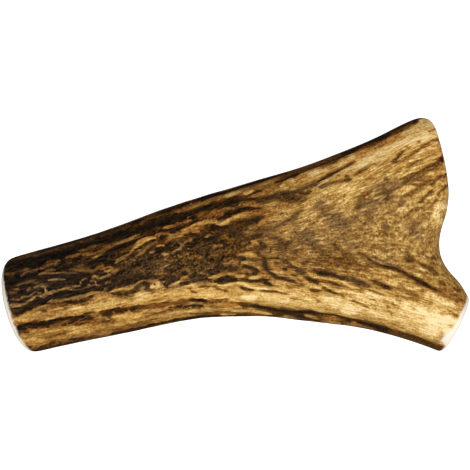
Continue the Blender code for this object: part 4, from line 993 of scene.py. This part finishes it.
# Whole stretches differ a little: the beam's end is darker and its upper half greyer, the bone is
# paler along the lower edge and up the upper tine, and the middle of the palm is duller.
beam_end = 1 - rise_between(0.1, 0.3, share)
dark_end = (1 - rise_between(0.1, 0.35, share)) * (1 - rise_between(0.5, 0.65, across))
grey_end = np.exp(-(((share - 0.05) / 0.28) ** 2)) * (1 - rise_between(0.45, 0.62, across))
lower_edge_bone = rise_between(0.7, 0.85, across)
up_the_tine = rise_between(0.55, 0.85, share) * (1 - rise_between(0.25, 0.4, across))
wide_palm = rise_between(0.5, 0.7, share) * (1 - rise_between(0.6, 0.75, across))
tone += 0.10 * up_the_tine + 0.05 * lower_edge_bone - 0.03 * wide_palm - 0.03 * beam_end
warmth += 0.15 * up_the_tine - 0.10 * wide_palm * rise_between(0.15, 0.3, across) - 0.45 * grey_end
darkest -= 0.03 * dark_end

# The furrows lie a little below the ridges, so a streak can be felt as well as seen. The relief
# comes in over CUT_MARGIN millimetres from the beam's cut, is low on the steep sides, and stays
# within the box of the solid.
FURROW_DEPTH = 0.30
CUT_MARGIN = 3.0
SIDE_CALM = 0.7
sawn_faces = np.empty(len(mesh.polygons), np.int32)
mesh.polygons.foreach_get("material_index", sawn_faces)
corner_counts = np.empty(len(mesh.polygons), np.int32)
mesh.polygons.foreach_get("loop_total", corner_counts)
corners = np.empty(len(mesh.loops), np.int32)
mesh.loops.foreach_get("vertex_index", corners)
on_sawn_face = np.zeros(count, bool)
on_sawn_face[corners[np.repeat(sawn_faces == 1, corner_counts)]] = True
on_skin_face = np.zeros(count, bool)
on_skin_face[corners[np.repeat(sawn_faces == 0, corner_counts)]] = True
relief = -FURROW_DEPTH * (stain - broad_stain)
relief *= rise_between(0.0, CUT_MARGIN, share * GRAIN_LENGTH) * (1 - SIDE_CALM * on_side)
relief[on_sawn_face] = 0.0
places += normals * relief[:, None]
places = np.clip(places, np.array(cad_low) / MM, np.array(cad_high) / MM)

# The sawn rims: the edge of each cut was sanded round, through the stain to bone-white, wide
# at the beam and the lower tine and not at all at the upper tine. Their white is partly painted
# light: it is pushed near to pure white, fully so on the lower tine, where the rim turns from the near
# lamp.
# Inside a ring of dense bone each cut shows a spongy core, whose pores are sunk into the face.
NEAR_CUT = 30
CUT_DEPTH = 0.6
RAGGED_EDGE = 0.15
DENSE_RING = 3.4
PORE_SIZE = 1.5
PORE_DEPTH = 0.8
# For each sanded edge: how softly it fades and its width at the top of the view in millimetres,
# how white it is, partly as painted light, and how much wider it gets between two heights of the view in
# pixels.
SANDED_AND_LIT_EDGES = {
    "beam": (0.2, 1.1, 0.88, ((0.8, 265, 295),)),
    "lower_tine": (0.5, 1.4, 1.0, ((0.5, 298, 318), (1.6, 322, 338), (-2.6, 339, 347))),
}
sanded_and_painted_light = np.zeros(count)
pores = np.zeros(count)
spongy = np.zeros(count)
for name, (middle, facing, *_) in SAW_CUTS.items():
    facing = np.array(facing)
    depth = -(places - np.array(middle)) @ facing
    near_cut = np.abs(places - np.array(middle)).max(axis=1) < NEAR_CUT
    if name in SANDED_AND_LIT_EDGES:
        fade, width, whiteness_and_light, changes = SANDED_AND_LIT_EDGES[name]
        for wider, start, end in changes:
            width = width + wider * rise_between(start, end, drawn[:, 1])
        rubbed = 1 - rise_between(width - fade, width + fade, depth + RAGGED_EDGE * ragged)
        sanded_and_painted_light = np.maximum(sanded_and_painted_light, near_cut * whiteness_and_light * rubbed)
    this_cut = near_cut & (np.abs(depth) < CUT_DEPTH)
    rim = places[this_cut & on_sawn_face & on_skin_face]
    face = np.nonzero(this_cut & on_sawn_face)[0]
    gap = np.linalg.norm(places[face][:, None, :] - rim[None, :, :], axis=2).min(axis=1)
    inside = rise_between(DENSE_RING - 0.5, DENSE_RING + 0.7, gap + 1.2 * rough(places[face], 3, 3))
    cells = np.array([noise.voronoi(Vector(p / PORE_SIZE))[0][:2] for p in places[face]])
    opened = rise_between(0.08, 0.42, cells[:, 1] - cells[:, 0])
    opened *= 0.7 + 0.5 * rough(places[face], 2, 2, 5.0)
    spongy[face] = inside
    pores[face] = inside * opened
    places[face] -= facing * (PORE_DEPTH * pores[face])[:, None]

mesh.vertices.foreach_set("co", (places * MM).ravel())
mesh.update()
mesh.shade_smooth()


def keep_on_skin(name, values, kind="FLOAT", part="value"):
    """Stores one value for each vertex, which the materials read."""
    attribute = mesh.attributes.new(name, kind, "POINT")
    attribute.data.foreach_set(part, np.asarray(values, np.float32).ravel())


keep_on_skin("tone", tone)
keep_on_skin("warmth", warmth)
keep_on_skin("stain", stain)
keep_on_skin("darkest", darkest)
keep_on_skin("placed", placed)
keep_on_skin("sanded_and_painted_light", sanded_and_painted_light)
keep_on_skin("spongy", spongy)
keep_on_skin("pores", pores)
keep_on_skin("grain", grain, "FLOAT_VECTOR", "vector")
# Three regions have a ground of their own: the pearled band, the palm and the palm's felted middle.
# The felted middle is a soft oval, placed in pixels of the view.
FELTED_MIDDLE = (365, 226)
FELTED_REACH = (85, 34)
pearled = np.exp(-(((share - 0.38) / 0.16) ** 2)) * rise_between(0.25, 0.45, across)
pearled *= 1 - rise_between(0.62, 0.75, across)
from_felted = (drawn - np.array(FELTED_MIDDLE)) / np.array(FELTED_REACH)
keep_on_skin("pearled", pearled)
keep_on_skin("palm", rise_between(0.45, 0.65, share))
keep_on_skin("felted", np.exp(-np.sum(from_felted**2, axis=1)))

# The skin's finish: fine fibre lines and the pearls' dark beads lie over the placed streaks, and
# the whole tone is dyed from near-black through golden tan to cream. Each step is a tone and the
# colour that it gets, from 0 to 255.
GOLDEN_STEPS = (
    (0.00, (14, 12, 9)),
    (0.15, (40, 27, 14)),
    (0.30, (80, 53, 23)),
    (0.45, (127, 87, 37)),
    (0.60, (169, 125, 57)),
    (0.75, (211, 168, 89)),
    (0.88, (241, 203, 131)),
    (1.00, (255, 231, 176)),
)
ORANGE_STEPS = (
    (0.00, (26, 14, 8)),
    (0.20, (78, 38, 14)),
    (0.40, (140, 78, 26)),
    (0.60, (192, 122, 44)),
    (0.80, (226, 168, 84)),
    (1.00, (250, 214, 140)),
)
GREY_STEPS = (
    (0.00, (17, 16, 15)),
    (0.20, (60, 45, 33)),
    (0.40, (112, 86, 56)),
    (0.60, (160, 130, 84)),
    (0.80, (206, 178, 126)),
    (1.00, (240, 222, 180)),
)


def linear(colour):
    """A colour from 0 to 255, as the shader wants it."""
    shares = [c / 255 for c in colour]
    return [s / 12.92 if s <= 0.04045 else ((s + 0.055) / 1.055) ** 2.4 for s in shares] + [1.0]


def add(tree, kind, **settings):
    """A new shader node with its settings."""
    made = tree.nodes.new(kind)
    for name, value in settings.items():
        setattr(made, name, value)
    return made


def feed(tree, source, target):
    """Joins a socket or a constant to an input."""
    if isinstance(source, bpy.types.NodeSocket):
        tree.links.new(source, target)
    else:
        target.default_value = source


def maths(tree, operation, *values, clamp=False):
    """A Math node, and its result."""
    made = add(tree, "ShaderNodeMath", operation=operation, use_clamp=clamp)
    for value, socket in zip(values, made.inputs):
        feed(tree, value, socket)
    return made.outputs[0]


def dyed(tree, value, steps):
    """A ColorRamp through the given steps of colour."""
    ramp = add(tree, "ShaderNodeValToRGB")
    elements = ramp.color_ramp.elements
    for place, colour in steps[1:-1]:
        elements.new(place).color = linear(colour)
    for end, (place, colour) in ((0, steps[0]), (len(steps) - 1, steps[-1])):
        elements[end].color = linear(colour)
        elements[end].position = place
    feed(tree, value, ramp.inputs[0])
    return ramp.outputs[0]


def mixed(tree, share, one, other):
    """One colour mixed into another."""
    mix = add(tree, "ShaderNodeMix", data_type="RGBA")
    feed(tree, share, mix.inputs[0])
    feed(tree, one, mix.inputs[6])
    feed(tree, other, mix.inputs[7])
    return mix.outputs[2]


def noise_on(tree, vector, stretch, detail=3.0, roughness=0.55, distortion=0.0, start=(0, 0, 0)):
    """Noise on a place, stretched by three lengths in the place's own unit."""
    place = add(tree, "ShaderNodeMapping")
    place.inputs["Scale"].default_value = [1 / s for s in stretch]
    place.inputs["Location"].default_value = start
    tree.links.new(vector, place.inputs["Vector"])
    made = add(tree, "ShaderNodeTexNoise")
    made.inputs["Scale"].default_value = 1.0
    made.inputs["Detail"].default_value = detail
    made.inputs["Roughness"].default_value = roughness
    made.inputs["Distortion"].default_value = distortion
    tree.links.new(place.outputs[0], made.inputs["Vector"])
    return made.outputs[0]


def blended(tree, share, one, other):
    """One value mixed into another."""
    mix = add(tree, "ShaderNodeMix", data_type="FLOAT")
    feed(tree, share, mix.inputs[0])
    feed(tree, one, mix.inputs[2])
    feed(tree, other, mix.inputs[3])
    return mix.outputs[0]


def kept(tree, name, output="Fac"):
    """A value kept on the skin, or with output Vector a place kept on it."""
    made = add(tree, "ShaderNodeAttribute", attribute_name=name, attribute_type="GEOMETRY")
    return made.outputs[output]


def lines_on(tree, vector, stretch, sharpness, start=(0, 0, 0)):
    """Thin wandering lines that meet and part like a braid: 1 on a line and 0 between."""
    field = noise_on(tree, vector, stretch, 1.5, 0.5, 0.5, start)
    away = maths(tree, "ABSOLUTE", maths(tree, "SUBTRACT", field, 0.5))
    return maths(tree, "SUBTRACT", 1.0, maths(tree, "MULTIPLY", away, sharpness), clamp=True)


# Length and width in millimetres of each pattern on the grain, and the share of them on the palm.
FIBRES = (11.0, 1.5)
FINE_FIBRES = (4.5, 0.8)
LONG_BRAID = (9.0, 1.9)
SHORT_BRAID = (4.5, 1.7)
PALM_FINER = (0.6, 0.22)
# A pearl's length, width and depth in millimetres, and how far its outline wanders, in pearls.
PEARL_SIZE = (2.0, 1.2, 1.2)
PEARL_WANDER = (1.1, 1.4, 1.1)
SEAM_SHARPNESS = 6.0
# The speckle and the hairs are as long as they are wide.
SPECKLE = 0.8 * MM
HAIRS = 1.1 * MM
# The near-white of the sanded rims is partly bone and partly painted light.
SANDED_WHITE_AND_LIGHT = (253, 245, 226)
skin.use_nodes = True
tree = skin.node_tree
shader = tree.nodes["Principled BSDF"]
grain_at = kept(tree, "grain", "Vector")
flat_place = add(tree, "ShaderNodeTexCoord").outputs["Object"]
regions = {name: kept(tree, name) for name in ("palm", "felted", "pearled")}


def on_grain(make, stretch, *settings):
    """A pattern on the grain, made again finer for the palm, where the fibres have spread."""
    along, round_ = stretch
    fine_along, fine_round = along * PALM_FINER[0], round_ * PALM_FINER[1]
    on_beam = make(tree, grain_at, (along, round_, round_), *settings)
    spread = make(tree, grain_at, (fine_along, fine_round, fine_round), *settings)
    return blended(tree, regions["palm"], on_beam, spread)


def varied(value, **changes):
    """A value that changes by the given amount in each named region of the skin."""
    for region, change in changes.items():
        value = maths(tree, "MULTIPLY_ADD", regions[region], change, value)
    return value


def swayed(value, *swings):
    """A value with each swing added to it by its own weight."""
    for swing, weight in swings:
        value = maths(tree, "MULTIPLY_ADD", swing, weight, value)
    return value


fibres = on_grain(noise_on, FIBRES, 3.0, 0.6, 0.5)
fine_fibres = on_grain(noise_on, FINE_FIBRES, 2.0, 0.6, 0.3, (5, 9, 2))
long_braid = on_grain(lines_on, LONG_BRAID, 14.0, (3, 5, 1))
short_braid = on_grain(lines_on, SHORT_BRAID, 16.0, (6, 2, 4))
speckle = noise_on(tree, flat_place, (SPECKLE, SPECKLE, SPECKLE), 1.0, 0.6, 0.3, (1, 7, 3))
hairs = lines_on(tree, flat_place, (HAIRS, HAIRS, HAIRS), 16.0, (4, 1, 6))
# Pearls: small dark beads, with thin paler seams between them.
bead_place = add(tree, "ShaderNodeMapping")
bead_place.inputs["Scale"].default_value = [1 / s for s in PEARL_SIZE]
wander = noise_on(tree, grain_at, (2.4, 1.4, 1.4), 1.0, 0.5, 0.0, (8, 3, 5))
feed(tree, grain_at, bead_place.inputs["Vector"])
bead_offset = add(tree, "ShaderNodeVectorMath", operation="MULTIPLY_ADD")
feed(tree, wander, bead_offset.inputs[0])
feed(tree, PEARL_WANDER, bead_offset.inputs[1])
tree.links.new(bead_place.outputs[0], bead_offset.inputs[2])
beads = add(tree, "ShaderNodeTexVoronoi", feature="DISTANCE_TO_EDGE")
beads.inputs["Scale"].default_value = 1.0
tree.links.new(bead_offset.outputs[0], beads.inputs["Vector"])
from_seam = maths(tree, "MULTIPLY", beads.outputs["Distance"], SEAM_SHARPNESS)
seams = maths(tree, "SUBTRACT", 1.0, from_seam, clamp=True)
seams = maths(tree, "MULTIPLY", seams, regions["pearled"])
fibre_swing = maths(tree, "SUBTRACT", fibres, 0.5)
fine_swing = maths(tree, "SUBTRACT", fine_fibres, 0.5)
speckle_swing = maths(tree, "SUBTRACT", speckle, 0.5)
hair_swing = maths(tree, "SUBTRACT", hairs, 0.2)
braid = maths(tree, "MAXIMUM", long_braid, short_braid)
braid = maths(tree, "MULTIPLY", braid, varied(1.0, pearled=-0.35))

# Where the bone is stained: the placed stain, frayed by the fibres. The swing of each pattern
# differs between the ribbed beam, the smooth palm and its felted middle, and the placed streaks
# are calmer than the ground between them.
calm = maths(tree, "MULTIPLY_ADD", kept(tree, "placed"), varied(-0.45, palm=0.30), 1.0)
swing = swayed(
    0.0,
    (fibre_swing, varied(0.9, palm=-0.1, felted=-0.4)),
    (fine_swing, varied(1.0, palm=0.1)),
    (speckle_swing, varied(0.8, palm=-0.2, felted=0.5, pearled=0.5)),
)
swing = maths(tree, "MULTIPLY", swing, calm)
placed_stain = kept(tree, "stain")
give = maths(tree, "MINIMUM", maths(tree, "MULTIPLY_ADD", placed_stain, 1.3, 0.35), 1.0)
braid_pull = maths(tree, "MULTIPLY", varied(-0.28, palm=0.18), calm)
stain_at = swayed(placed_stain, (swing, give), (braid, braid_pull), (seams, -0.14))
stain_at = maths(tree, "ADD", stain_at, varied(0.26, palm=-0.18))
stained = add(tree, "ShaderNodeMapRange", interpolation_type="SMOOTHSTEP")
feed(tree, stain_at, stained.inputs["Value"])
feed(tree, varied(0.26, palm=-0.15), stained.inputs["From Min"])
feed(tree, varied(0.74, palm=0.15), stained.inputs["From Max"])
stained = stained.outputs[0]

# The tone of the bare bone and of the stain on it, and the colour that they are dyed.
speckle_light = maths(tree, "MULTIPLY_ADD", kept(tree, "tone"), -0.9, 1.55)
speckle_light = maths(tree, "MULTIPLY", varied(0.5, palm=0.1, felted=0.45), speckle_light)
bone_tone = swayed(
    kept(tree, "tone"),
    (fibre_swing, varied(-0.7, felted=0.4)),
    (fine_swing, varied(-0.5, palm=-0.2)),
    (speckle_swing, speckle_light),
    (hair_swing, 0.03),
)
stain_swing = swayed(
    0.0,
    (fine_swing, 0.45),
    (speckle_swing, varied(0.4, palm=0.3, pearled=0.2)),
    (regions["pearled"], 0.04),
    (braid, varied(0.22, palm=-0.18)),
    (seams, 0.17),
)
stain_tone = maths(tree, "MULTIPLY_ADD", stain_swing, calm, kept(tree, "darkest"))
full_tone = blended(tree, stained, bone_tone, stain_tone)
warmth_at = swayed(kept(tree, "warmth"), (fibre_swing, 0.7), (regions["pearled"], -0.35))
greyness = maths(tree, "MULTIPLY", warmth_at, -1.0)
golden = dyed(tree, full_tone, GOLDEN_STEPS)
orange = dyed(tree, full_tone, ORANGE_STEPS)
grey = dyed(tree, full_tone, GREY_STEPS)
colour = mixed(tree, maths(tree, "MAXIMUM", warmth_at, 0.0), golden, orange)
colour = mixed(tree, maths(tree, "MAXIMUM", greyness, 0.0), colour, grey)
# The sanded rims are mixed towards white: partly bone, partly painted light.
colour = mixed(tree, kept(tree, "sanded_and_painted_light"), colour, linear(SANDED_WHITE_AND_LIGHT))
feed(tree, colour, shader.inputs["Base Color"])
feed(tree, maths(tree, "MULTIPLY_ADD", stained, 0.25, 0.5), shader.inputs["Roughness"])
feed(tree, maths(tree, "MULTIPLY_ADD", stained, -0.10, 0.12), shader.inputs["Specular IOR Level"])
bump = add(tree, "ShaderNodeBump")
bump.inputs["Strength"].default_value = 0.6
bump.inputs["Distance"].default_value = 0.25 * MM
feed(tree, full_tone, bump.inputs["Height"])
tree.links.new(bump.outputs[0], shader.inputs["Normal"])

# The sawn faces: a ring of dense pale bone round a porous core the colour of dry sponge.
DENSE_STEPS = ((0.30, (206, 180, 140)), (0.5, (228, 208, 172)), (0.70, (240, 226, 198)))
CORE_STEPS = ((0.30, (150, 114, 72)), (0.5, (186, 150, 104)), (0.70, (206, 174, 128)))
PORE_BROWN = (78, 52, 32)
MOTTLE = 1.6 * MM
GRIT = 0.35 * MM
sawn_bone.use_nodes = True
tree = sawn_bone.node_tree
shader = tree.nodes["Principled BSDF"]
flat_place = add(tree, "ShaderNodeTexCoord").outputs["Object"]
mottle = noise_on(tree, flat_place, (MOTTLE, MOTTLE, MOTTLE), 4.0, 0.6, 0.0)
grit = noise_on(tree, flat_place, (GRIT, GRIT, GRIT), 2.0, 0.6, 0.0, (3, 1, 2))
dense_bone = dyed(tree, mottle, DENSE_STEPS)
core_walls = dyed(tree, mottle, CORE_STEPS)
colour = mixed(tree, kept(tree, "spongy"), dense_bone, core_walls)
grit_swing = maths(tree, "SUBTRACT", grit, 0.5)
pore_share = maths(tree, "MULTIPLY_ADD", grit_swing, 0.7, kept(tree, "pores"), clamp=True)
colour = mixed(tree, pore_share, colour, linear(PORE_BROWN))
feed(tree, colour, shader.inputs["Base Color"])
feed(tree, maths(tree, "MULTIPLY_ADD", pore_share, 0.3, 0.6), shader.inputs["Roughness"])
saw_marks = add(tree, "ShaderNodeBump")
saw_marks.inputs["Strength"].default_value = 0.5
saw_marks.inputs["Distance"].default_value = 0.1 * MM
feed(tree, grit, saw_marks.inputs["Height"])
tree.links.new(saw_marks.outputs[0], shader.inputs["Normal"])

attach(antler, "root")
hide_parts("antler")

# The studio: a plain white table top, a large soft light above the near side with weaker ones
# from the far side and from the right, and a camera straight above the antler.
bpy.ops.mesh.primitive_plane_add(size=6.0, location=(0, 0, -0.0005))
table_top = bpy.context.active_object
table_top.name = "table_top"
white = bpy.data.materials.new("white_table")
white.use_nodes = True
tree = white.node_tree
shader = tree.nodes["Principled BSDF"]
# The camera sees the table plain white, and the antler gets only a little light back from it.
to_camera = add(tree, "ShaderNodeLightPath").outputs["Is Camera Ray"]
table_grey = mixed(tree, to_camera, (0.35, 0.35, 0.35, 1), (0.5, 0.5, 0.5, 1))
feed(tree, table_grey, shader.inputs["Base Color"])
feed(tree, to_camera, shader.inputs["Emission Strength"])
shader.inputs["Emission Color"].default_value = (1, 1, 1, 1)
shader.inputs["Roughness"].default_value = 0.9
shader.inputs["Specular IOR Level"].default_value = 0.1
table_top.data.materials.append(white)

scene = bpy.context.scene
world = bpy.data.worlds.new("studio")
scene.world = world
world.use_nodes = True
background = world.node_tree.nodes["Background"]
background.inputs["Color"].default_value = (1, 1, 1, 1)
background.inputs["Strength"].default_value = 0.35


def soft_light(name, place, size, power):
    """A large square lamp that faces the antler."""
    lamp = bpy.data.lights.new(name, "AREA")
    lamp.size = size
    lamp.energy = power
    holder = bpy.data.objects.new(name, lamp)
    holder.location = place
    holder.rotation_euler = (-Vector(place)).to_track_quat("-Z", "Y").to_euler()
    scene.collection.objects.link(holder)


soft_light("near_light", (0.0, -0.45, 1.0), 1.2, 9.3)
soft_light("far_light", (0.25, 0.7, 0.8), 1.0, 1.7)
soft_light("right_light", (1.0, -0.3, 0.35), 0.8, 2.0)

camera = bpy.data.objects.new("camera", bpy.data.cameras.new("camera"))
camera.data.lens = LENS
camera.data.sensor_width = SENSOR
camera.location = EYE * MM
scene.collection.objects.link(camera)
scene.camera = camera
scene.view_settings.view_transform = "Standard"
